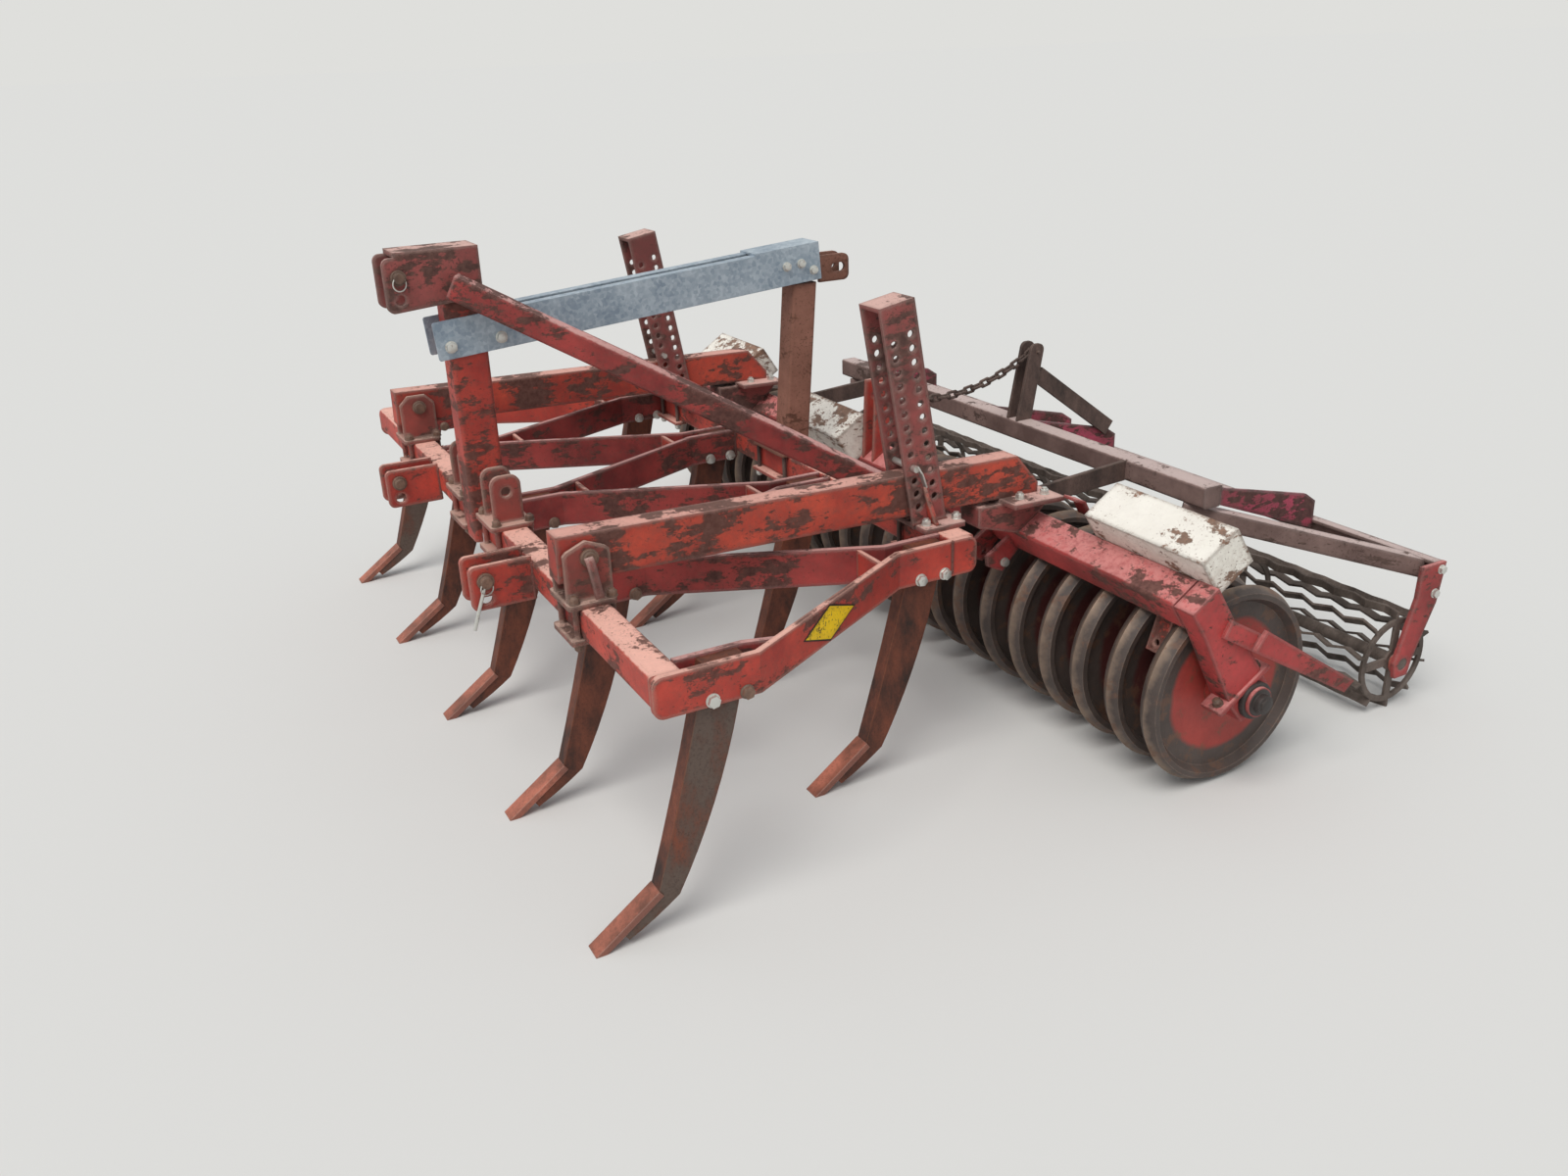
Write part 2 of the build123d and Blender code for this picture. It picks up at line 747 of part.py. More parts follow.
def post_hole(column, row):
    """Hole place up the post: column 1 is the rear one, -1 the front one."""
    return (column * post_column_offset, post_first_hole + column * post_stagger / 2 + row * post_hole_pitch)


def depth_post(name, x):
    with BuildPart() as post:
        base_y = (post_base_front_y + post_base_rear_y) / 2
        with BuildSketch(level(beam_top_z, base_y)):
            with Locations((x, 0)):
                RectangleRounded(post_base_width, post_base_rear_y - post_base_front_y, clamp_plate_corner)
        extrude(amount=post_base_thickness)
        foot = side(x, post_foot_y, post_foot_z, post_lean)
        for face in (post_inner, -post_inner - post_plate_thickness):
            with BuildSketch(foot.offset(face)):
                with Locations((0, post_length / 2)):
                    Rectangle(post_plate_width, post_length)
                with Locations(*[post_hole(column, row) for column in (1, -1) for row in range(post_hole_rows)]):
                    Circle(post_hole_diameter / 2, mode=Mode.SUBTRACT)
            extrude(amount=post_plate_thickness)
        with BuildSketch(foot.offset(-post_inner - post_plate_thickness)):
            with Locations((0, post_length + post_cap_thickness / 2)):
                Rectangle(post_plate_width, post_cap_thickness)
        extrude(amount=2 * (post_inner + post_plate_thickness))
        split(bisect_by=Plane.XY.offset(beam_top_z), keep=Keep.TOP)
    save(post, name)


depth_post("depth_post_left", arm_x)
depth_post("depth_post_right", -arm_x)

with BuildPart() as depth_pins:
    pin_half = post_inner + post_plate_thickness + stop_pin_overhang
    for x in (arm_x, -arm_x):
        with BuildSketch(side(x - pin_half, post_foot_y, post_foot_z, post_lean)):
            with Locations(post_hole(-1, stop_pin_row)):
                Circle(stop_pin_diameter / 2)
        extrude(amount=2 * pin_half)
save(depth_pins, "depth_pins")


# Channels from the mast to the rear clevis, folded from sheet

channel_plane = side(0, channel_front_y, channel_front_top_z, channel_tilt)
channel_length = hypot(channel_rear_y - channel_front_y, channel_rear_top_z - channel_front_top_z)
with BuildPart() as top_channels:
    web_face = mast_width / 2
    with BuildSketch(channel_plane.offset(web_face)):
        with Locations((channel_length / 2, -channel_height / 2)):
            RectangleRounded(channel_length, channel_height, channel_corner)
    extrude(amount=channel_web)
    with BuildSketch(channel_plane.offset(web_face - channel_flange + channel_web)):
        flange_run = channel_length - channel_flange_start
        for z in (-channel_web / 2, channel_web / 2 - channel_height):
            with Locations((channel_flange_start + flange_run / 2, z)):
                Rectangle(flange_run, channel_web)
    extrude(amount=channel_flange)
    mirror(about=Plane.YZ)
    cover_start = channel_length - (channel_rear_y - top_cover_front_y)
    with BuildSketch(channel_plane.offset(-web_face - channel_web)):
        with Locations(((cover_start + channel_length) / 2, top_cover_thickness / 2)):
            Rectangle(channel_length - cover_start, top_cover_thickness)
    extrude(amount=2 * (web_face + channel_web))
save(top_channels, "top_channels")

with BuildPart() as rear_clevis:
    inner = rear_clevis_gap / 2
    root_y = channel_rear_y - rear_clevis_root
    step_y = channel_rear_y + rear_clevis_step_y
    step_z = rear_clevis_low_z + rear_clevis_step_z
    middle_z = (rear_clevis_low_z + rear_clevis_high_z) / 2
    with BuildSketch(side(inner), side(-inner - rear_clevis_thickness)):
        with BuildLine():
            Polyline((root_y, step_z), (step_y, step_z), (step_y, rear_clevis_low_z),
                     (rear_clevis_end_y, rear_clevis_low_z), (rear_clevis_end_y, rear_clevis_high_z),
                     (root_y, rear_clevis_high_z), close=True)
        make_face()
        with Locations((rear_clevis_slot_y, middle_z)):
            SlotCenterToCenter(rear_clevis_slot_length - rear_clevis_slot_diameter, rear_clevis_slot_diameter,
                               mode=Mode.SUBTRACT)
    extrude(amount=rear_clevis_thickness)
    fillet(rear_clevis.edges().filter_by(Axis.X).group_by(Axis.Y)[-1], radius=rear_clevis_corner)
    with BuildSketch(side(-mast_width / 2)):
        with Locations((channel_rear_y - rear_clevis_pin_back, middle_z)):
            Circle(rear_clevis_pin_diameter / 2)
    extrude(amount=mast_width)
save(rear_clevis, "rear_clevis")

with BuildPart() as rear_post:
    foot_plane = side(0, rear_post_foot_y, beam_top_z, -rear_post_lean)
    post_run = (rear_post_top_z - beam_top_z) / cos(radians(rear_post_lean))
    with BuildSketch(foot_plane):
        with Locations((0, post_run / 2)):
            Rectangle(rear_post_width, post_run + rear_post_spare)
    extrude(amount=rear_post_width / 2, both=True)
    long_edges = rear_post.edges().sort_by(SortBy.LENGTH)[-4:]
    fillet(long_edges, radius=rear_post_corner)
    with BuildSketch(level(beam_top_z, beam_spacing)):
        RectangleRounded(rear_post_base_width, clamp_rear_y - clamp_front_y, clamp_plate_corner)
    extrude(amount=rear_post_base_thickness)
    split(bisect_by=Plane.XY.offset(beam_top_z), keep=Keep.TOP)
    split(bisect_by=Plane.XY.offset(rear_post_top_z), keep=Keep.BOTTOM)
save(rear_post, "rear_post")


# Packer arms, pivoted on the front beam and seated on the packer tube

arm_plane = side(0, arm_front_y, arm_front_z, arm_tilt)
arm_length = hypot(arm_rear_y - arm_front_y, arm_rear_z - arm_front_z)


def arm(name, x):
    with BuildPart() as arm_box:
        with BuildSketch(arm_plane.offset(x)):
            half = arm_height / 2
            with BuildLine():
                Polyline((0, -half), (arm_length, -half), (arm_length, -half + arm_rear_lip),
                         (arm_length - arm_slope_back, half), (0, half), close=True)
            make_face()
        extrude(amount=arm_width / 2, both=True)
        with BuildSketch(side(x - arm_width)):
            with Locations((arm_pivot_y, arm_pivot_z)):
                Circle(pin_diameter / 2 + pin_play)
        extrude(amount=2 * arm_width, mode=Mode.SUBTRACT)
    save(arm_box, name)


arm("arm_left", arm_x)
arm("arm_right", -arm_x)

# Packer tube with its crumbler lugs
tube_plane = side(0, tube_y, tube_z, tube_tilt)
tube_half = tube_side / 2


def tube_point(along_face, off_face):
    """Fore-and-aft place and height of a point given in the tube's turned directions."""
    c, s = cos(radians(tube_tilt)), sin(radians(tube_tilt))
    return (tube_y + along_face * c - off_face * s, tube_z + along_face * s + off_face * c)


def arm_underside(y):
    return arm_rear_z - (y - arm_rear_y) * tan(radians(-arm_tilt)) - arm_height / 2 / cos(radians(arm_tilt))


lug_rows = ((1, 1), (1, -1), (-1, 1), (-1, -1))
hinge_lug_half = tube_half - 1.5 * tube_corner
with BuildPart() as packer_tube:
    with BuildSketch(tube_plane):
        RectangleRounded(tube_side, tube_side, tube_corner)
    extrude(amount=tube_half_length, both=True)
    for sign, lean in lug_rows:
        lug_x = sign * lug_x_place + lean * (lug_gap + lug_thickness) / 2 - lug_thickness / 2
        with BuildSketch(side(lug_x)):
            with BuildLine():
                nose = [(crumbler_hinge_y + dy, crumbler_hinge_z + dz) for dy, dz in hinge_lug_nose]
                Polyline(tube_point(tube_half, hinge_lug_half), tube_point(tube_half, -hinge_lug_half), *nose,
                         close=True)
            make_face()
            with Locations((crumbler_hinge_y, crumbler_hinge_z)):
                Circle(hinge_pin_diameter / 2 + pin_play, mode=Mode.SUBTRACT)
        extrude(amount=lug_thickness)
save(packer_tube, "packer_tube")

with BuildPart() as hinge_pins:
    for sign in (1, -1):
        with BuildSketch(side(sign * lug_x_place - lug_gap)):
            with Locations((crumbler_hinge_y, crumbler_hinge_z)):
                Circle(hinge_pin_diameter / 2)
        extrude(amount=2 * lug_gap)
save(hinge_pins, "hinge_pins")

# Pairs of plates and single tabs under the tube's front edge, between the rings
with BuildPart() as front_lugs:
    ring_middle = ring_x[rings_before_lug_count]
    lug_faces = (ring_middle + front_lug_gap / 2, ring_middle - front_lug_gap / 2 - front_lug_thickness)
    with BuildSketch(*[side(x) for x in lug_faces]):
        with BuildLine():
            Polyline(tube_point(-tube_half, -tube_half), tube_point(-tube_half, tube_corner), *front_lug_nose,
                     close=True)
        make_face()
        with Locations((front_lug_hole_y, front_lug_hole_z)):
            Circle(front_lug_hole_diameter / 2, mode=Mode.SUBTRACT)
    extrude(amount=front_lug_thickness)
    mirror(about=Plane.YZ)
save(front_lugs, "front_lugs")

with BuildPart() as front_tabs:
    tab_x = (ring_x[tab_ring] + ring_x[tab_ring - 1]) / 2
    root_y, root_z = tube_point(tab_root, -tube_half)
    root = Vector(tab_x, front_beam_y + root_y, root_z)
    foot = Vector(tab_x, front_beam_y + tab_foot_y, tab_foot_z)
    tab_plane = Plane(origin=root, x_dir=(1, 0, 0), z_dir=Vector(1, 0, 0).cross(root - foot))
    tab_run = (root - foot).length
    with BuildSketch(tab_plane):
        with Locations((0, tab_thickness / 2 - tab_run / 2)):
            Rectangle(tab_width, tab_run + tab_thickness)
        with Locations((0, tab_hole_rise - tab_run)):
            Circle(tab_hole_diameter / 2, mode=Mode.SUBTRACT)
    extrude(amount=tab_thickness / 2, both=True)
    split(bisect_by=Plane(origin=root, z_dir=tube_plane.y_dir), keep=Keep.BOTTOM)
    mirror(about=Plane.YZ)
save(front_tabs, "front_tabs")

# Saddles between the arms and the tube
with BuildPart() as arm_mounts:
    with BuildSketch(*[side(sign * arm_x) for sign in (1, -1)]):
        with BuildLine():
            Polyline((mount_front_y, arm_underside(mount_front_y) - mount_plate_thickness),
                     (mount_front_y, mount_front_low_z),
                     tube_point(-tube_half, tube_half), tube_point(tube_half, tube_half),
                     (mount_rear_y, arm_underside(mount_rear_y) - mount_plate_thickness), close=True)
        make_face()
    extrude(amount=mount_block_width / 2, both=True)
    with BuildSketch(*[side(sign * arm_x) for sign in (1, -1)]):
        with BuildLine():
            Polyline((mount_plate_front_y, arm_underside(mount_plate_front_y) - mount_plate_thickness),
                     (mount_rear_y, arm_underside(mount_rear_y) - mount_plate_thickness),
                     (mount_rear_y, arm_underside(mount_rear_y)),
                     (mount_plate_front_y, arm_underside(mount_plate_front_y)), close=True)
        make_face()
    extrude(amount=mount_plate_width / 2, both=True)
save(arm_mounts, "arm_mounts")

# End arms carry the packer's axle from the tube's ends
with BuildPart() as packer_end_arms:
    with BuildSketch(side(end_arm_x)):
        with BuildLine():
            foot = [(packer_axle_y + dy, packer_axle_z + dz) for dy, dz in end_arm_foot]
            Polyline(tube_point(-tube_half, tube_half), tube_point(-tube_half, -tube_half), *foot,
                     tube_point(tube_half, -tube_half), tube_point(tube_half, tube_half), close=True)
        make_face()
        with Locations((packer_axle_y, packer_axle_z)):
            Circle(packer_journal_diameter / 2 + journal_play, mode=Mode.SUBTRACT)
    extrude(amount=end_arm_thickness)
    with BuildSketch(side(end_arm_x + end_arm_thickness)):
        with Locations((packer_axle_y, packer_axle_z)):
            Circle(packer_journal_diameter / 2 + bearing_cap_rim)
    extrude(amount=bearing_cap_depth)
    mirror(about=Plane.YZ)
save(packer_end_arms, "packer_end_arms")

# Side bars outboard of the packer, sloping down rearward
with BuildPart() as side_bars:
    bar_x = end_arm_x + end_arm_thickness
    with BuildSketch(side(bar_x)):
        with BuildLine():
            Polyline(*upper_bar_outline, close=True)
        make_face()
    extrude(amount=side_bar_thickness)
    with BuildSketch(side(bar_x + side_bar_thickness)):
        with BuildLine():
            Polyline(*lower_bar_outline, close=True)
        make_face()
    extrude(amount=side_bar_thickness)
    mirror(about=Plane.YZ)
save(side_bars, "side_bars")

# Ballast weights on the tube
with BuildPart() as ballast_weights:
    for left_end, right_end, face in weight_rows:
        with BuildSketch(tube_plane.offset(left_end)):
            if face == "rear":
                with Locations((tube_half + weight_depth / 2, weight_low + weight_height / 2)):
                    Rectangle(weight_depth, weight_height)
            else:
                with Locations((weight_top_shift, tube_half + weight_height / 2)):
                    Rectangle(weight_depth, weight_height)
        extrude(amount=right_end - left_end)
save(ballast_weights, "ballast_weights")

# Centre upright: two plates that the chain's front link hangs between
with BuildPart() as centre_upright:
    inner = upright_gap / 2
    with BuildSketch(side(upright_x + inner), side(upright_x - inner - upright_thickness)):
        with BuildLine():
            Polyline(tube_point(-tube_half + upright_foot_inset, tube_half),
                     tube_point(tube_half - upright_foot_inset, tube_half),
                     (upright_top_y + upright_top_half, upright_top_z),
                     (upright_top_y - upright_top_half, upright_top_z), close=True)
        make_face()
        with Locations((upright_hole_y, upright_hole_z)):
            Circle(upright_hole_diameter / 2, mode=Mode.SUBTRACT)
    extrude(amount=upright_thickness)
save(centre_upright, "centre_upright")


# Packer rings: bevelled rims with recessed discs

with BuildPart() as packer_rings:
    crest = ring_diameter / 2
    shoulder = crest - ring_bevel
    rim_half, disc_half, bore = ring_rim_width / 2, ring_disc_thickness / 2, packer_shaft_diameter / 2
    section = [(-rim_half, shoulder), (0, crest), (rim_half, shoulder), (rim_half, shoulder - ring_rim_depth / 2),
               (disc_half, shoulder - ring_rim_depth), (disc_half, bore), (-disc_half, bore),
               (-disc_half, shoulder - ring_rim_depth), (-rim_half, shoulder - ring_rim_depth / 2)]
    for x in ring_x:
        with BuildSketch(Plane(origin=(x, front_beam_y + packer_axle_y, packer_axle_z), x_dir=(1, 0, 0),
                               z_dir=(0, -1, 0))):
            with BuildLine():
                Polyline(*section, close=True)
            make_face()
    revolve(axis=Axis((0, front_beam_y + packer_axle_y, packer_axle_z), (1, 0, 0)))
save(packer_rings, "packer_rings")

with BuildPart() as packer_axle:
    shaft_half = ring_x[-1] + ring_rim_width / 2
    with BuildSketch(side(-shaft_half, packer_axle_y, packer_axle_z)):
        Circle(packer_shaft_diameter / 2)
    extrude(amount=2 * shaft_half)
    journal_half = end_arm_x + end_arm_thickness - journal_inset
    with BuildSketch(side(-journal_half, packer_axle_y, packer_axle_z)):
        Circle(packer_journal_diameter / 2)
    extrude(amount=2 * journal_half)
save(packer_axle, "packer_axle")


# Crumbler frame

with BuildPart() as crumbler_beam:
    with BuildSketch(side(0, crumbler_beam_y, crumbler_beam_z)):
        RectangleRounded(crumbler_beam_side, crumbler_beam_side, crumbler_beam_corner)
    extrude(amount=crumbler_beam_half_length, both=True)
save(crumbler_beam, "crumbler_beam")

with BuildPart() as crumbler_rear_rail:
    with BuildSketch(side(0, rail_y, rail_z)):
        with Locations((rail_depth / 2 - rail_thickness / 2, 0)):
            Rectangle(rail_thickness, rail_height)
        with Locations((0, rail_height / 2 - rail_thickness / 2)):
            Rectangle(rail_depth, rail_thickness)
    extrude(amount=rail_half_length, both=True)
save(crumbler_rear_rail, "crumbler_rear_rail")

beam_back = crumbler_beam_y + crumbler_beam_side / 2
crumbler_beam_low_z = crumbler_beam_z - crumbler_beam_side / 2
rail_front = rail_y - rail_depth / 2
with BuildPart() as crumbler_brackets:
    with BuildSketch(*[side(x - bracket_thickness / 2) for x in bracket_x]):
        with BuildLine():
            Polyline((beam_back, bracket_top_z), (bracket_shoulder_y, bracket_shoulder_z),
                     (rail_front, rail_z + rail_height / 2 + bracket_over_rail),
                     (rail_front, rail_z), (beam_back, bracket_low_z), close=True)
        make_face()
    extrude(amount=bracket_thickness)
save(crumbler_brackets, "crumbler_brackets")


def slanted(start, end, up=(0, 0, 1)):
    """Plane at start facing end, and the run between them."""
    a, b = Vector(*start), Vector(*end)
    return Plane(origin=a, x_dir=(b - a).cross(Vector(*up)), z_dir=b - a), (b - a).length


with BuildPart() as crumbler_braces:
    for sign in (1, -1):
        start = (sign * brace_start_x, front_beam_y + brace_start_y, crumbler_beam_low_z - brace_depth / 2)
        end = (sign * brace_end_x, front_beam_y + rail_y, rail_z - brace_end_drop)
        brace_plane, brace_run = slanted(start, end)
        with BuildSketch(brace_plane):
            Rectangle(brace_thickness, brace_depth)
        extrude(amount=brace_run)
    split(bisect_by=Plane.XZ.offset(-(front_beam_y + rail_front)), keep=Keep.TOP)
save(crumbler_braces, "crumbler_braces")

# End arms from the rail down to the cage roller's hubs
with BuildPart() as crumbler_end_arms:
    with BuildSketch(side(cage_end_arm_x)):
        with BuildLine():
            foot = [(cage_y + dy, cage_z + dz) for dy, dz in cage_arm_foot]
            Polyline(*cage_arm_head, *foot, close=True)
        make_face()
        with Locations((cage_y, cage_z)):
            Circle(cage_stub_diameter / 2 + journal_play, mode=Mode.SUBTRACT)
    extrude(amount=cage_end_arm_thickness)
    mirror(about=Plane.YZ)
save(crumbler_end_arms, "crumbler_end_arms")

# Drag arms from the tube's lugs to the crumbler beam
with BuildPart() as drag_arms:
    with BuildSketch(*[side(sign * lug_x_place - drag_arm_thickness / 2) for sign in (1, -1)]):
        with BuildLine():
            Polyline((crumbler_hinge_y, crumbler_hinge_z + drag_arm_eye_radius),
                     (crumbler_hinge_y, crumbler_hinge_z - drag_arm_eye_radius),
                     (crumbler_beam_y - crumbler_beam_side / 2, crumbler_beam_z - drag_arm_rear_half),
                     (crumbler_beam_y - crumbler_beam_side / 2, crumbler_beam_z + drag_arm_rear_half), close=True)
        make_face()
        with Locations((crumbler_hinge_y, crumbler_hinge_z)):
            Circle(drag_arm_eye_radius)
        with Locations((crumbler_hinge_y, crumbler_hinge_z)):
            Circle(hinge_pin_diameter / 2 + pin_play, mode=Mode.SUBTRACT)
    extrude(amount=drag_arm_thickness)
save(drag_arms, "drag_arms")

# Chain tower over one bracket
tower_bolt_z = tower_top_z - tower_bolt_drop
with BuildPart() as chain_tower:
    tower_foot_z = crumbler_beam_z + crumbler_beam_side / 2
    inner = tower_gap / 2
    with BuildSketch(side(tower_x + inner), side(tower_x - inner - tower_bar_thickness)):
        with BuildLine():
            Polyline((crumbler_beam_y - tower_foot_front, tower_foot_z),
                     (crumbler_beam_y + tower_foot_rear, tower_foot_z),
                     (tower_top_y + tower_top_rear, tower_top_z),
                     (tower_top_y - tower_top_front, tower_top_z), close=True)
        make_face()
    extrude(amount=tower_bar_thickness)
    fillet(chain_tower.edges().filter_by(Axis.X).group_by(Axis.Z)[-1], radius=tower_round)
    with BuildSketch(side(tower_x - inner - tower_bar_thickness - tower_bolt_overhang)):
        with Locations((tower_top_y, tower_bolt_z)):
            Circle(tower_bolt_diameter / 2)
    extrude(amount=tower_gap + 2 * (tower_bar_thickness + tower_bolt_overhang))
    strut_thickness = (tower_gap - bracket_thickness) / 2
    strut_x = tower_x + (bracket_thickness + strut_thickness) / 2
    strut_top = (strut_x, front_beam_y + tower_top_y + strut_top_setback, tower_top_z - strut_top_drop)
    strut_foot = (strut_x, front_beam_y + strut_foot_y, strut_foot_z)
    strut_plane, strut_run = slanted(strut_top, strut_foot, (1, 0, 0))
    with BuildSketch(strut_plane):
        Rectangle(strut_depth, strut_thickness)
    extrude(amount=strut_run)
save(chain_tower, "chain_tower")

# Chain from the tower's bolt, sagging forward to the upright

def chain_place(t):
    """Point of the hanging line, t from 0 at the tower to 1 at the upright."""
    y = tower_top_y + (chain_end_y - tower_top_y) * t
    z = tower_bolt_z + (chain_end_z - tower_bolt_z) * t - 4 * chain_sag * t * (1 - t)
    return Vector(tower_x + (upright_x - tower_x) * t, front_beam_y + y, z)


link_pitch = link_inner_length - link_play
bolt_seat = (link_pitch - link_inner_length + link_inner_width) / 2
start_rate = hypot(chain_end_y - tower_top_y, chain_end_z - tower_bolt_z - 4 * chain_sag)
chain_line = [chain_place(i / chain_steps - bolt_seat / start_rate) for i in range(chain_steps)]
link_ends = [chain_line[0]]
for place in chain_line:
    if (place - link_ends[-1]).length >= link_pitch:
        link_ends.append(place)
with BuildPart() as chain:
    for i, (a, b) in enumerate(zip(link_ends, link_ends[1:])):
        run = b - a
        across = run.cross(Vector(0, 0, 1))
        normal = run.cross(across) if i % 2 else across
        with BuildSketch(Plane(origin=(a + b) * 0.5, x_dir=run, z_dir=normal)) as outline:
            Rectangle(link_inner_length + 2 * link_wire, link_inner_width + 2 * link_wire)
            chamfer(outline.vertices(), link_end_bevel)
            Rectangle(link_inner_length, link_inner_width, mode=Mode.SUBTRACT)
        extrude(amount=link_wire / 2, both=True)
save(chain, "chain")

# Cage roller: rings and hubs joined by wavy lengthwise bars
cage_axis = Axis((0, front_beam_y + cage_y, cage_z), (1, 0, 0))
with BuildPart() as cage_roller:
    ring_inner = cage_diameter / 2 - cage_bar_depth - cage_ring_width
    with BuildSketch(*[side(x - cage_ring_thickness / 2, cage_y, cage_z) for x in cage_ring_x]):
        Circle(cage_diameter / 2 - cage_bar_depth + cage_weld_sink)
        Circle(ring_inner, mode=Mode.SUBTRACT)
        Circle(cage_hub_diameter / 2)
        with PolarLocations(0, cage_spoke_count):
            with Locations((ring_inner / 2, 0)):
                Rectangle(ring_inner + 2 * cage_weld_sink, cage_spoke_width)
    extrude(amount=cage_ring_thickness)
    with BuildSketch(side(-cage_stub_half, cage_y, cage_z)):
        Circle(cage_stub_diameter / 2)
    extrude(amount=2 * cage_stub_half)
    wave_count = round(2 * cage_half_length / cage_wave_pitch)
    wave = [(-cage_half_length + i * cage_half_length / wave_count, cage_wave_height / 2 * (1 if i % 2 else -1))
            for i in range(2 * wave_count + 1)]
    for k in range(cage_bar_count):
        turn = radians(360 / cage_bar_count * (k + 0.5))
        outward = Vector(0, cos(turn), sin(turn))
        origin = Vector(0, front_beam_y + cage_y, cage_z) + outward * (cage_diameter / 2 - cage_bar_depth)
        with BuildSketch(Plane(origin=origin, x_dir=(1, 0, 0), z_dir=outward)):
            with BuildLine():
                Polyline(*strip(wave, cage_bar_thickness), close=True)
            make_face()
        extrude(amount=cage_bar_depth)
save(cage_roller, "cage_roller")
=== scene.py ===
import math

import bpy
from mathutils import Matrix, Vector


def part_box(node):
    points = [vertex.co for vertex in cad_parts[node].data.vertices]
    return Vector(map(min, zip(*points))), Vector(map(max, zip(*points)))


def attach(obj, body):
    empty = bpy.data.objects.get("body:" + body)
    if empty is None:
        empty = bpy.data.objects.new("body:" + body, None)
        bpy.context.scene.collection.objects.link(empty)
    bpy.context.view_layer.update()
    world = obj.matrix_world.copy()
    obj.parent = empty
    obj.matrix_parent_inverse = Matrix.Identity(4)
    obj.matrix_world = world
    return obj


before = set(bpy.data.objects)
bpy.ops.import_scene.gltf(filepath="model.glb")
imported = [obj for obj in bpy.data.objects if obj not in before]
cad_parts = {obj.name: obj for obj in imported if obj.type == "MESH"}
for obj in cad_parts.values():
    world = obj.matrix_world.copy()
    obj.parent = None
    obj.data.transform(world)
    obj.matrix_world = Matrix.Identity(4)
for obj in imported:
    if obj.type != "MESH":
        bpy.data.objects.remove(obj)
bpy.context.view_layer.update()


# Colours and node helper

def linear(code):
    """An sRGB hex colour as linear light."""
    shares = [int(code[i:i + 2], 16) / 255 for i in (0, 2, 4)]
    return tuple(c / 12.92 if c <= 0.04045 else ((c + 0.055) / 1.055) ** 2.4 for c in shares) + (1.0,)


def per(millimetres):
    """Pattern scale whose features are about this size on Object coordinates in metres."""
    return 1000.0 / millimetres


def add(tree, kind, sockets, **settings):
    """Adds a node with its settings; a socket gets a value or a link."""
    node = tree.nodes.new(kind)
    for key, value in settings.items():
        setattr(node, key, value)
    for key, value in sockets.items():
        if isinstance(value, bpy.types.NodeSocket):
            tree.links.new(value, node.inputs[key])
        else:
            node.inputs[key].default_value = value
    return node


def new_finish(name):
    """An empty material with its shader, and the nodes every finish starts from."""
    material = bpy.data.materials.new(name)
    material.use_nodes = True
    tree = material.node_tree
    shader = tree.nodes["Principled BSDF"]
    place = add(tree, "ShaderNodeTexCoord", {})
    return material, tree, shader, place


def edge_bands(tree, band_mm):
    """How far a point is from an outer edge, as 1 on the edge to 0 past the band, and a normal
    that is rounded on the edge alone."""
    round_edge = add(tree, "ShaderNodeBevel", {"Radius": band_mm / 1000}, samples=4)
    face = add(tree, "ShaderNodeNewGeometry", {})
    turn = add(tree, "ShaderNodeVectorMath", {0: round_edge.outputs[0], 1: face.outputs["True Normal"]},
               operation="DOT_PRODUCT")
    near = add(tree, "ShaderNodeMapRange", {0: turn.outputs["Value"], 1: 0.995, 2: 0.74, 3: 0.0, 4: 1.0})
    rim = add(tree, "ShaderNodeMapRange", {0: near.outputs[0], 1: 0.45, 2: 0.9, 3: 0.0, 4: 1.0})
    soft = add(tree, "ShaderNodeMix",
               {0: rim.outputs[0], 4: face.outputs["Normal"], 5: round_edge.outputs[0]}, data_type="VECTOR")
    return near.outputs[0], soft.outputs[1]


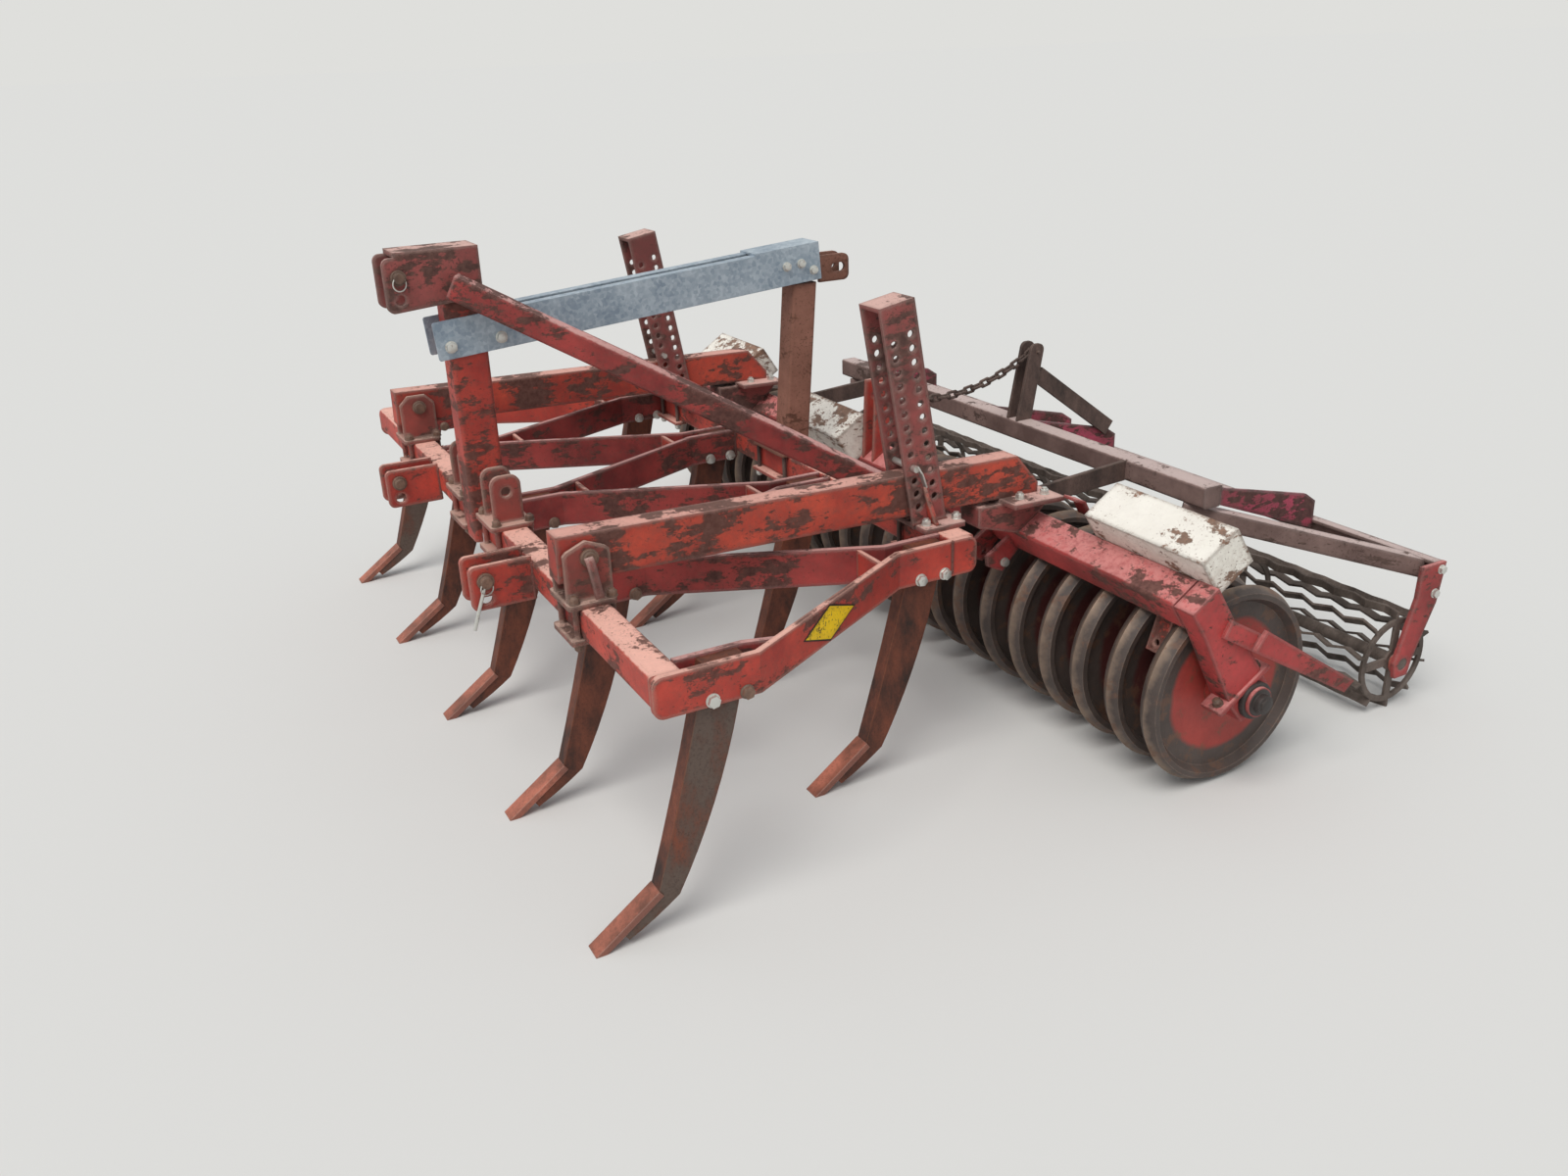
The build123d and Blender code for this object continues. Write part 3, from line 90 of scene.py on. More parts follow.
def weathered_enamel(name, coat, deep, bleached_and_lit, bare, bare_dark, wear, film, chalk_and_top_light, pale_line,
                     coat_roughness):
    """Old brushed enamel on steel: paler where it faces the sky, partly sun bleaching and partly painted top
    light, chipped through to brown steel in clusters and along its edges, filmed with brown dirt near them,
    and with a pale line along cut edges that is partly lost colour and partly a painted highlight, brightest
    on upward faces. wear, film, chalk_and_top_light and pale_line run from 0, none, to 1, full."""
    material, tree, shader, place = new_finish(name)
    at = place.outputs["Object"]
    cloud = add(tree, "ShaderNodeTexNoise",
                {"Vector": at, "Scale": per(210), "Detail": 6.0, "Roughness": 0.65})
    tone = add(tree, "ShaderNodeMapRange", {0: cloud.outputs[0], 1: 0.38, 2: 0.62, 3: 0.0, 4: 1.0})
    coated = add(tree, "ShaderNodeMix", {0: tone.outputs[0], 6: linear(deep), 7: linear(coat)},
                 data_type="RGBA")
    facing = add(tree, "ShaderNodeSeparateXYZ", {0: place.outputs["Normal"]})
    fine = add(tree, "ShaderNodeTexNoise", {"Vector": at, "Scale": per(16), "Detail": 8.0, "Roughness": 0.72})
    # Upward faces turn paler: partly sun bleaching, partly painted top light
    sky = add(tree, "ShaderNodeMath", {0: facing.outputs[2], 1: fine.outputs[0]}, operation="ADD")
    upward = add(tree, "ShaderNodeMapRange", {0: sky.outputs[0], 1: 1.05, 2: 1.40, 3: 0.0, 4: chalk_and_top_light})
    faded_and_lit = add(tree, "ShaderNodeMix", {0: upward.outputs[0], 6: coated.outputs[2], 7: linear(bleached_and_lit)},
                data_type="RGBA")
    streaked = add(tree, "ShaderNodeMapping", {"Vector": at, "Scale": (0.55, 0.45, 1.25)})
    chip = add(tree, "ShaderNodeTexNoise",
               {"Vector": streaked.outputs[0], "Scale": per(34), "Detail": 10.0, "Roughness": 0.74})
    crowd = add(tree, "ShaderNodeTexNoise",
                {"Vector": at, "Scale": per(190), "Detail": 5.0, "Roughness": 0.62})
    near, soft_normal = edge_bands(tree, 19.0)
    dense = add(tree, "ShaderNodeMath", {0: crowd.outputs[0], 1: 0.9, 2: chip.outputs[0]},
                operation="MULTIPLY_ADD")
    edge_weighted = add(tree, "ShaderNodeMath", {0: near, 1: 0.10, 2: dense.outputs[0]}, operation="MULTIPLY_ADD")
    worn_at = 1.125 - 0.22 * wear
    lost = add(tree, "ShaderNodeMapRange",
               {0: edge_weighted.outputs[0], 1: worn_at, 2: worn_at + 0.03, 3: 0.0, 4: 0.92})
    filmed = add(tree, "ShaderNodeMath", {0: crowd.outputs[0], 1: 0.5, 2: near}, operation="MULTIPLY_ADD")
    mottled = add(tree, "ShaderNodeMath", {0: fine.outputs[0], 1: 0.9, 2: filmed.outputs[0]},
                  operation="MULTIPLY_ADD")
    thin = add(tree, "ShaderNodeMapRange", {0: mottled.outputs[0], 1: 0.60, 2: 1.12, 3: 0.0, 4: film})
    level = add(tree, "ShaderNodeMapRange", {0: facing.outputs[2], 1: 0.3, 2: 0.9, 3: 1.0, 4: 0.45})
    hazed = add(tree, "ShaderNodeMath", {0: thin.outputs[0], 1: level.outputs[0]}, operation="MULTIPLY")
    speck = add(tree, "ShaderNodeTexNoise", {"Vector": at, "Scale": per(7), "Detail": 5.0, "Roughness": 0.72})
    grouped = add(tree, "ShaderNodeMath", {0: crowd.outputs[0], 1: 0.5, 2: speck.outputs[0]},
                  operation="MULTIPLY_ADD")
    specks = add(tree, "ShaderNodeMapRange", {0: grouped.outputs[0], 1: 0.84, 2: 0.89, 3: 0.0, 4: 0.85})
    steel_tone = add(tree, "ShaderNodeMapRange", {0: fine.outputs[0], 1: 0.36, 2: 0.62, 3: 0.0, 4: 1.0})
    steel = add(tree, "ShaderNodeMix", {0: steel_tone.outputs[0], 6: linear(bare_dark), 7: linear(bare)},
                data_type="RGBA")
    stained = add(tree, "ShaderNodeMix", {0: hazed.outputs[0], 6: faded_and_lit.outputs[2], 7: steel.outputs[2]},
                  data_type="RGBA")
    gone = add(tree, "ShaderNodeMath", {0: lost.outputs[0], 1: specks.outputs[0]}, operation="MAXIMUM")
    chipped = add(tree, "ShaderNodeMix", {0: gone.outputs[0], 6: stained.outputs[2], 7: steel.outputs[2]},
                  data_type="RGBA")
    # Pale line on the cut edges: partly lost paint, partly a painted highlight that is brighter on upward
    # faces
    line_at = add(tree, "ShaderNodeMath", {0: fine.outputs[0], 1: 0.9, 2: near}, operation="MULTIPLY_ADD")
    line = add(tree, "ShaderNodeMapRange", {0: line_at.outputs[0], 1: 1.08, 2: 1.26, 3: 0.0, 4: pale_line})
    lit = add(tree, "ShaderNodeMapRange", {0: facing.outputs[2], 1: -0.2, 2: 0.6, 3: 0.5, 4: 1.0})
    drawn_line = add(tree, "ShaderNodeMath", {0: line.outputs[0], 1: lit.outputs[0]}, operation="MULTIPLY")
    colour = add(tree, "ShaderNodeMix",
                 {0: drawn_line.outputs[0], 6: chipped.outputs[2], 7: linear(bleached_and_lit)}, data_type="RGBA")
    rough = add(tree, "ShaderNodeMapRange", {0: gone.outputs[0], 1: 0.0, 2: 1.0, 3: coat_roughness, 4: 0.9})
    height = add(tree, "ShaderNodeMath", {0: gone.outputs[0], 1: -0.5, 2: fine.outputs[0]},
                 operation="MULTIPLY_ADD")
    bump = add(tree, "ShaderNodeBump", {"Strength": 0.4, "Distance": 0.0008, "Height": height.outputs[0],
                                        "Normal": soft_normal})
    tree.links.new(colour.outputs[2], shader.inputs["Base Color"])
    tree.links.new(rough.outputs[0], shader.inputs["Roughness"])
    tree.links.new(bump.outputs[0], shader.inputs["Normal"])
    shader.inputs["IOR"].default_value = 1.5
    shader.inputs["Specular IOR Level"].default_value = 0.35
    return material


def rusted_steel(name, light, dark, glint, glint_share, roughness, flank=None, flank_from=-1.0):
    """Hot-rolled steel rusted outdoors; glint is the colour where soil or handling keeps it bare, and
    flank the duller colour of faces turned to the machine's sides, grey dust with painted shade, from
    flank_from metres outward."""
    material, tree, shader, place = new_finish(name)
    at = place.outputs["Object"]
    drawn_out = add(tree, "ShaderNodeMapping", {"Vector": at, "Scale": (1.0, 1.0, 0.5)})
    cloud = add(tree, "ShaderNodeTexNoise",
                {"Vector": drawn_out.outputs[0], "Scale": per(90), "Detail": 8.0, "Roughness": 0.72})
    tone = add(tree, "ShaderNodeMapRange", {0: cloud.outputs[0], 1: 0.36, 2: 0.64, 3: 0.0, 4: 1.0})
    rust = add(tree, "ShaderNodeMix", {0: tone.outputs[0], 6: linear(dark), 7: linear(light)},
               data_type="RGBA")
    facing = add(tree, "ShaderNodeSeparateXYZ", {0: place.outputs["Normal"]})
    # Faces turned sideways get the flank colour: grey dust and painted shade
    sideways = add(tree, "ShaderNodeMath", {0: facing.outputs[0]}, operation="ABSOLUTE")
    spot = add(tree, "ShaderNodeSeparateXYZ", {0: at})
    distance = add(tree, "ShaderNodeMath", {0: spot.outputs[0]}, operation="ABSOLUTE")
    outboard = add(tree, "ShaderNodeMapRange",
                   {0: distance.outputs[0], 1: flank_from, 2: flank_from + 0.1, 3: 0.0, 4: 1.0})
    dust_and_shade = add(tree, "ShaderNodeMath", {0: sideways.outputs[0], 1: outboard.outputs[0]},
                operation="MULTIPLY")
    stain = add(tree, "ShaderNodeMath", {0: cloud.outputs[0], 1: -1.1, 2: dust_and_shade.outputs[0]},
                operation="MULTIPLY_ADD")
    dull = add(tree, "ShaderNodeMapRange",
               {0: stain.outputs[0], 1: 0.28, 2: 0.52, 3: 0.0, 4: 1.0 if flank else 0.0})
    sided = add(tree, "ShaderNodeMix", {0: dull.outputs[0], 6: rust.outputs[2], 7: linear(flank or dark)},
                data_type="RGBA")
    grain = add(tree, "ShaderNodeTexNoise", {"Vector": at, "Scale": per(6), "Detail": 5.0, "Roughness": 0.75})
    spots = add(tree, "ShaderNodeMapRange", {0: grain.outputs[0], 1: 0.50, 2: 0.70, 3: 0.0, 4: 0.6})
    freckled = add(tree, "ShaderNodeMix", {0: spots.outputs[0], 6: sided.outputs[2], 7: linear(dark)},
                   data_type="RGBA")
    near, soft_normal = edge_bands(tree, 7.0)
    broken = add(tree, "ShaderNodeMath", {0: cloud.outputs[0], 1: 1.2, 2: near}, operation="MULTIPLY_ADD")
    bare = add(tree, "ShaderNodeMapRange", {0: broken.outputs[0], 1: 1.15, 2: 1.45, 3: 0.0, 4: glint_share})
    colour = add(tree, "ShaderNodeMix", {0: bare.outputs[0], 6: freckled.outputs[2], 7: linear(glint)},
                 data_type="RGBA")
    bump = add(tree, "ShaderNodeBump", {"Strength": 0.45, "Distance": 0.001, "Height": grain.outputs[0],
                                        "Normal": soft_normal})
    metal = add(tree, "ShaderNodeMath", {0: bare.outputs[0], 1: 0.6}, operation="MULTIPLY")
    tree.links.new(colour.outputs[2], shader.inputs["Base Color"])
    tree.links.new(metal.outputs[0], shader.inputs["Metallic"])
    tree.links.new(bump.outputs[0], shader.inputs["Normal"])
    shader.inputs["Roughness"].default_value = roughness
    return material


def galvanised_sheet():
    """Hot-dip galvanised folded sheet: bluish grey with dull spangle and white storage stain."""
    material, tree, shader, place = new_finish("galvanised_sheet")
    at = place.outputs["Object"]
    spangle = add(tree, "ShaderNodeTexVoronoi", {"Vector": at, "Scale": per(9)}, feature="F1")
    flake = add(tree, "ShaderNodeSeparateColor", {0: spangle.outputs["Color"]})
    stain = add(tree, "ShaderNodeTexNoise",
                {"Vector": at, "Scale": per(140), "Detail": 8.0, "Roughness": 0.7})
    tone = add(tree, "ShaderNodeMath", {0: flake.outputs[0], 1: 0.22, 2: stain.outputs[0]},
               operation="MULTIPLY_ADD")
    shade = add(tree, "ShaderNodeMapRange", {0: tone.outputs[0], 1: 0.4, 2: 0.8, 3: 0.0, 4: 1.0})
    colour = add(tree, "ShaderNodeMix", {0: shade.outputs[0], 6: linear("8494A3"), 7: linear("B7C3CC")},
                 data_type="RGBA")
    _, soft_normal = edge_bands(tree, 4.0)
    bump = add(tree, "ShaderNodeBump", {"Strength": 0.2, "Distance": 0.0005, "Height": flake.outputs[0],
                                        "Normal": soft_normal})
    tree.links.new(colour.outputs[2], shader.inputs["Base Color"])
    tree.links.new(bump.outputs[0], shader.inputs["Normal"])
    shader.inputs["Metallic"].default_value = 0.35
    shader.inputs["Roughness"].default_value = 0.55
    return material


def ring_iron():
    """Cast packer rings and their axle: soil-darkened iron, rubbed bright brown on the running rim, with a
    painted highlight along the edges. Inside the rim the discs keep red enamel, bright on the two outermost
    faces and darkened on the others by dirt and painted shade between the rings."""
    material, tree, shader, place = new_finish("ring_iron")
    at = place.outputs["Object"]
    axle_y = (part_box("packer_axle")[0].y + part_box("packer_axle")[1].y) / 2
    axle_z = (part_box("packer_axle")[0].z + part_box("packer_axle")[1].z) / 2
    centred = add(tree, "ShaderNodeVectorMath", {0: at, 1: (0.0, -axle_y, -axle_z)}, operation="ADD")
    split = add(tree, "ShaderNodeSeparateXYZ", {0: centred.outputs[0]})
    flat = add(tree, "ShaderNodeCombineXYZ", {0: 0.0, 1: split.outputs[1], 2: split.outputs[2]})
    radius = add(tree, "ShaderNodeVectorMath", {0: flat.outputs[0]}, operation="LENGTH")
    cloud = add(tree, "ShaderNodeTexNoise", {"Vector": at, "Scale": per(90), "Detail": 8.0, "Roughness": 0.7})
    blurred = add(tree, "ShaderNodeMath", {0: cloud.outputs[0], 1: 0.03, 2: radius.outputs["Value"]},
                  operation="MULTIPLY_ADD")
    rim = add(tree, "ShaderNodeMapRange", {0: blurred.outputs[0], 1: 0.176, 2: 0.190, 3: 0.0, 4: 1.0})
    tread = add(tree, "ShaderNodeMapRange", {0: blurred.outputs[0], 1: 0.255, 2: 0.266, 3: 0.0, 4: 1.0})
    paint = add(tree, "ShaderNodeMix", {0: cloud.outputs[0], 6: linear("6E2420"), 7: linear("C44A40")},
                data_type="RGBA")
    outwards = add(tree, "ShaderNodeMath", {0: split.outputs[0]}, operation="ABSOLUTE")
    # Discs between the rings get a dark red: dirt and painted shade
    outermost_face = add(tree, "ShaderNodeMapRange", {0: outwards.outputs[0], 1: 1.310, 2: 1.314, 3: 0.0, 4: 1.0})
    disc = add(tree, "ShaderNodeMix", {0: outermost_face.outputs[0], 6: linear("4E2422"), 7: paint.outputs[2]},
               data_type="RGBA")
    iron = add(tree, "ShaderNodeMix", {0: cloud.outputs[0], 6: linear("2A211E"), 7: linear("5E514B")},
               data_type="RGBA")
    body = add(tree, "ShaderNodeMix", {0: rim.outputs[0], 6: disc.outputs[2], 7: iron.outputs[2]},
               data_type="RGBA")
    colour = add(tree, "ShaderNodeMix", {0: tread.outputs[0], 6: body.outputs[2], 7: linear("8A7768")},
                 data_type="RGBA")
    polish = add(tree, "ShaderNodeMath", {0: tread.outputs[0], 1: 0.6}, operation="MULTIPLY")
    grain = add(tree, "ShaderNodeTexNoise", {"Vector": at, "Scale": per(6), "Detail": 4.0})
    soil = add(tree, "ShaderNodeTexNoise", {"Vector": at, "Scale": per(55), "Detail": 9.0, "Roughness": 0.72})
    bloom = add(tree, "ShaderNodeMapRange", {0: soil.outputs[0], 1: 0.53, 2: 0.62, 3: 0.0, 4: 0.7})
    rusted = add(tree, "ShaderNodeMix", {0: bloom.outputs[0], 6: colour.outputs[2], 7: linear("6A4A38")},
                 data_type="RGBA")
    bump = add(tree, "ShaderNodeBump", {"Strength": 0.35, "Distance": 0.001, "Height": grain.outputs[0]})
    near, _ = edge_bands(tree, 5.0)
    # Paler, more metallic band along the ring edges: a painted highlight
    edge_glint_spread = add(tree, "ShaderNodeMath", {0: cloud.outputs[0], 1: 1.6, 2: near}, operation="MULTIPLY_ADD")
    edge_weighted = add(tree, "ShaderNodeMapRange", {0: edge_glint_spread.outputs[0], 1: 1.25, 2: 1.65, 3: 0.0, 4: 0.8})
    shine = add(tree, "ShaderNodeMix", {0: edge_weighted.outputs[0], 6: rusted.outputs[2], 7: linear("A89486")},
                data_type="RGBA")
    bright = add(tree, "ShaderNodeMath", {0: edge_weighted.outputs[0], 1: polish.outputs[0]}, operation="MAXIMUM")
    tree.links.new(shine.outputs[2], shader.inputs["Base Color"])
    tree.links.new(bright.outputs[0], shader.inputs["Metallic"])
    tree.links.new(bump.outputs[0], shader.inputs["Normal"])
    shader.inputs["Roughness"].default_value = 0.55
    return material


def zinc_plate():
    """Zinc-plated bolts and pins: dull silver with brown rust started in the roots."""
    material, tree, shader, place = new_finish("zinc_plate")
    at = place.outputs["Object"]
    spot = add(tree, "ShaderNodeTexNoise", {"Vector": at, "Scale": per(14), "Detail": 6.0, "Roughness": 0.7})
    rust = add(tree, "ShaderNodeMapRange", {0: spot.outputs[0], 1: 0.57, 2: 0.70, 3: 0.0, 4: 0.85})
    colour = add(tree, "ShaderNodeMix", {0: rust.outputs[0], 6: linear("D0D0CA"), 7: linear("7A5A48")},
                 data_type="RGBA")
    metal = add(tree, "ShaderNodeMapRange", {0: rust.outputs[0], 1: 0.0, 2: 0.9, 3: 0.75, 4: 0.1})
    tree.links.new(colour.outputs[2], shader.inputs["Base Color"])
    tree.links.new(metal.outputs[0], shader.inputs["Metallic"])
    shader.inputs["Roughness"].default_value = 0.36
    return material


enamels = {
    # Red brushing enamel, bleached and painted lighter on top: beams, outer plates, brackets and the mast
    "red_enamel": dict(
        coat="C94C3D", deep="9C362F", bleached_and_lit="F0BAAA", bare="6B4840", bare_dark="48332D",
        wear=0.52, film=0.70, chalk_and_top_light=0.97, pale_line=0.85, coat_roughness=0.60),
    # The same enamel, more chipped, on the two arms
    "arm_red_enamel": dict(
        coat="CA523E", deep="9C3A31", bleached_and_lit="DCA99C", bare="674A42", bare_dark="46342E",
        wear=0.78, film=0.90, chalk_and_top_light=0.90, pale_line=0.70, coat_roughness=0.65),
    # The same enamel, darker for painted shade, on the inner plates and the stays
    "shaded_red_enamel": dict(
        coat="A8413D", deep="782D2C", bleached_and_lit="D6A49E", bare="60433C", bare_dark="3E2C28",
        wear=0.58, film=0.66, chalk_and_top_light=0.90, pale_line=0.85, coat_roughness=0.65),
    # The same enamel under dust: depth posts, arm mounts, mast head and pin handles
    "dusty_red_enamel": dict(
        coat="A35450", deep="794340", bleached_and_lit="D6B0A6", bare="644A42", bare_dark="43332F",
        wear=0.62, film=0.75, chalk_and_top_light=0.95, pale_line=0.80, coat_roughness=0.70),
    # The same enamel with pale edges, partly worn and partly painted highlight, on the clamps round the front
    # beam
    "clamp_enamel": dict(
        coat="A84E46", deep="7E423C", bleached_and_lit="D8B8A8", bare="6B4E44", bare_dark="4A3833",
        wear=0.60, film=0.70, chalk_and_top_light=0.70, pale_line=1.00, coat_roughness=0.70),
    # Cooler red enamel of the packer frame and the crumbler's end arms
    "packer_red_enamel": dict(
        coat="BC4645", deep="8A3332", bleached_and_lit="DE9490", bare="6B4B43", bare_dark="46332E",
        wear=0.58, film=0.60, chalk_and_top_light=0.80, pale_line=0.70, coat_roughness=0.60),
    # Crimson enamel of the crumbler's brackets
    "crimson_enamel": dict(
        coat="BE4A64", deep="8A4048", bleached_and_lit="C9A6A8", bare="5E4640", bare_dark="40312D",
        wear=0.72, film=0.80, chalk_and_top_light=0.90, pale_line=0.50, coat_roughness=0.65),
    # Faded mauve enamel of the crumbler's beam, rail and braces
    "mauve_enamel": dict(
        coat="937A73", deep="6E5853", bleached_and_lit="C6B2AD", bare="645049", bare_dark="463833",
        wear=0.46, film=0.45, chalk_and_top_light=0.92, pale_line=0.50, coat_roughness=0.66),
    # Brown primer of the rear post and its clevis
    "brown_primer": dict(
        coat="9A6B5B", deep="7E5546", bleached_and_lit="B58A7A", bare="684638", bare_dark="503429",
        wear=0.25, film=0.40, chalk_and_top_light=0.30, pale_line=0.30, coat_roughness=0.72),
    # Cream enamel, chipped to brown, on the added weights
    "cream_enamel": dict(
        coat="F4F0E6", deep="E6E1D6", bleached_and_lit="FBF9F2", bare="8C6650", bare_dark="5A4032",
        wear=0.54, film=0.55, chalk_and_top_light=0.40, pale_line=0.00, coat_roughness=0.55),
    # Yellow self-adhesive foil of the rhombus
    "yellow_foil": dict(
        coat="FFD71E", deep="F4C61A", bleached_and_lit="FFE45A", bare="5A4A3A", bare_dark="3E3229",
        wear=0.05, film=0.15, chalk_and_top_light=0.30, pale_line=0.00, coat_roughness=0.45),
    # Black border of the same foil
    "black_foil": dict(
        coat="2C2724", deep="1E1A18", bleached_and_lit="4A423C", bare="5A4A3A", bare_dark="3E3229",
        wear=0.05, film=0.15, chalk_and_top_light=0.30, pale_line=0.00, coat_roughness=0.45),
}
steels = {
    # Rust over worn paint on the tines, with grey dust and painted shade on the outermost ones' flanks
    "tine_paint": dict(
        light="7A402B", dark="2C1912", glint="B87352", glint_share=0.35, roughness=0.7,
        flank="5E4E45", flank_from=0.95),
    # Forged tine points, scoured by soil and freshly rusted, their flanks darker with painted shade
    "point_steel": dict(
        light="BD705A", dark="683F31", glint="C8A294", glint_share=0.5, roughness=0.55,
        flank="845447"),
    # Plain rusted bar and plate
    "rusty_steel": dict(light="6F5850", dark="3A2E2A", glint="94867C", glint_share=0.45, roughness=0.78),
    # Soil-greyed flat bar of the cage roller
    "cage_steel": dict(light="74675F", dark="40362F", glint="8D8078", glint_share=0.3, roughness=0.75),
    # Old bolts and pins with their plating gone
    "worn_bolt": dict(light="8A6A58", dark="4A342A", glint="9C8C80", glint_share=0.5, roughness=0.6),
    # Blackened cast bearing housings
    "bearing_black": dict(light="3A3230", dark="1C1817", glint="6A5F5A", glint_share=0.4, roughness=0.5),
    # Weld metal with rusted paint over it
    "weld_bead": dict(light="9A5A50", dark="5A3430", glint="8A6A60", glint_share=0.3, roughness=0.7),
}
finishes = {name: weathered_enamel(name, **look) for name, look in enamels.items()}
finishes.update({name: rusted_steel(name, **look) for name, look in steels.items()})
finishes.update(galvanised_sheet=galvanised_sheet(), ring_iron=ring_iron(), zinc_plate=zinc_plate())

# The finish that each of the record's slots gets, and the nodes that get another
slot_finish = {
    "red_paint": "red_enamel", "tine_steel": "tine_paint", "rusty_steel": "rusty_steel",
    "galvanised": "galvanised_sheet", "brown_primer": "brown_primer", "mauve_paint": "mauve_enamel",
    "cream_paint": "cream_enamel", "ring_steel": "ring_iron", "pin_steel": "zinc_plate",
}
own_finish = {
    "point_steel": ("front_points", "rear_points"),
    "cage_steel": ("cage_roller",),
    "shaded_red_enamel": ("plates_second", "plates_third", "plates_inner", "plates_short", "stays"),
    "arm_red_enamel": ("arm_left", "arm_right"),
    "dusty_red_enamel": ("mast_head", "depth_post_left", "depth_post_right", "arm_mounts"),
    "clamp_enamel": ("clevis_clamps", "arm_clamps"),
    "packer_red_enamel": ("packer_tube", "side_bars", "packer_end_arms", "crumbler_end_arms", "front_lugs"),
    "crimson_enamel": ("crumbler_brackets",),
    "worn_bolt": ("hitch_pins", "arm_pins"),
}
node_finish = {node: finish for finish, nodes in own_finish.items() for node in nodes}


def dress(piece, finish):
    """Gives a piece one finish all over."""
    piece.data.materials.clear()
    piece.data.materials.append(finishes[finish])


for name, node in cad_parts.items():
    packed = node.data.materials[0].name if node.data.materials else "red_paint"
    slot = next((s for s in slot_finish if packed.startswith(s)), "red_paint")
    finish = finishes[node_finish.get(name, slot_finish[slot])]
    for place in node.material_slots:
        place.material = finish


# Fittings: each kind is modelled once, then copied to its places

# The front beam's centre line, in metres. The places below are in millimetres, y rearward from that line
# and z up from the ground.
front_beam_y = -0.9702
# The tines of both rows, the faces beside each one, and the row of bolts that are older
front_tine_x = (-1165.0, -582.5, 0.0, 582.5, 1165.0)
rear_tine_x = (-873.75, -291.25, 291.25, 873.75)
tine_face = 35
old_bolt_y = 164
# Middles of the arms, clevises, link brackets, stays and front lugs, and half the widths of two of them
arm_x = 750
clevis_x = (168, -131)
link_x = 435
link_half = 44
stay_x = 592
lug_x = 687.5
lug_half = 49.5
# How far an arm falls for each millimetre rearward
arm_fall = 0.0265
# The rear beam, and the two rows of bolts through the bases that stand on it
rear_beam_y = 897
base_bolt_y = (rear_beam_y - 44, rear_beam_y + 44)
# The beams' top, the top of the plates on them, and the outer faces of the mast's channels
beam_top_z = 591
deck_z = 603
channel_face = 47

# Angles below which neighbouring faces are shaded as one, the share of a turned step that its bevel takes
# and the share of a bar that its rounded edges take
smooth_angle = math.radians(40)
turned_smooth_angle = math.radians(35)
step_bevel = 0.16
bar_rounding = 0.2
# Each copy is turned by this much, in radians, from the one before it, so that no row of nuts lines up
copy_turn = 0.7


def at(x, y, z):
    """Point from millimetres: y is measured rearward from the front beam's centre line."""
    return Vector((x / 1000, front_beam_y + y / 1000, z / 1000))


def select_faces(mesh, test):
    """In edit mode, selects just the faces whose centre and normal pass the test."""
    bpy.ops.mesh.select_all(action="DESELECT")
    bpy.ops.object.mode_set(mode="OBJECT")
    for face in mesh.polygons:
        face.select = test(face.center, face.normal)
    bpy.ops.object.mode_set(mode="EDIT")


def turned_part(name, *steps):
    """A stack of round or many-sided steps up its own z: each step is radius, height and sides, in mm."""
    bpy.ops.object.select_all(action="DESELECT")
    base = 0.0
    parts = []
    for radius, height, sides in steps:
        bpy.ops.mesh.primitive_cylinder_add(vertices=sides, radius=radius / 1000, depth=height / 1000,
                                            location=(0, 0, (base + height / 2) / 1000))
        piece = bpy.context.active_object
        bpy.ops.object.mode_set(mode="EDIT")
        top = height / 2000 - 1e-5
        select_faces(piece.data, lambda centre, normal: normal.z > 0.9 and centre.z > top)
        bpy.ops.mesh.bevel(offset=min(radius, height) * step_bevel / 1000, segments=2, affect="EDGES")
        bpy.ops.object.mode_set(mode="OBJECT")
        parts.append(piece)
        base += height
    bpy.ops.object.select_all(action="DESELECT")
    for piece in parts:
        piece.select_set(True)
    bpy.context.view_layer.objects.active = parts[0]
    bpy.ops.object.join()
    bpy.ops.object.transform_apply(location=True, rotation=True, scale=True)
    whole = bpy.context.active_object
    whole.name = name
    bpy.ops.object.shade_smooth_by_angle(angle=turned_smooth_angle)
    return whole


def fit(piece, name, body, finish):
    """Names a finished piece and gives it its finish and the body it rides on."""
    piece.name = name
    dress(piece, finish)
    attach(piece, body)
    return piece


def spread(name, template, places, body, finish):
    """Copies of a template, its z along each place's axis, joined into one piece of a body."""
    bpy.ops.object.select_all(action="DESELECT")
    copies = []
    for i, (spot, axis) in enumerate(places):
        twin = bpy.data.objects.new(name, template.data.copy())
        bpy.context.scene.collection.objects.link(twin)
        facing = Vector(axis).to_track_quat("Z", "Y").to_matrix().to_4x4()
        twin.matrix_world = Matrix.Translation(spot) @ facing @ Matrix.Rotation(i * copy_turn, 4, "Z")
        twin.select_set(True)
        copies.append(twin)
    bpy.context.view_layer.objects.active = copies[0]
    if len(copies) > 1:
        bpy.ops.object.join()
    bpy.ops.object.transform_apply(location=True, rotation=True, scale=True)
    return fit(bpy.context.active_object, name, body, finish)


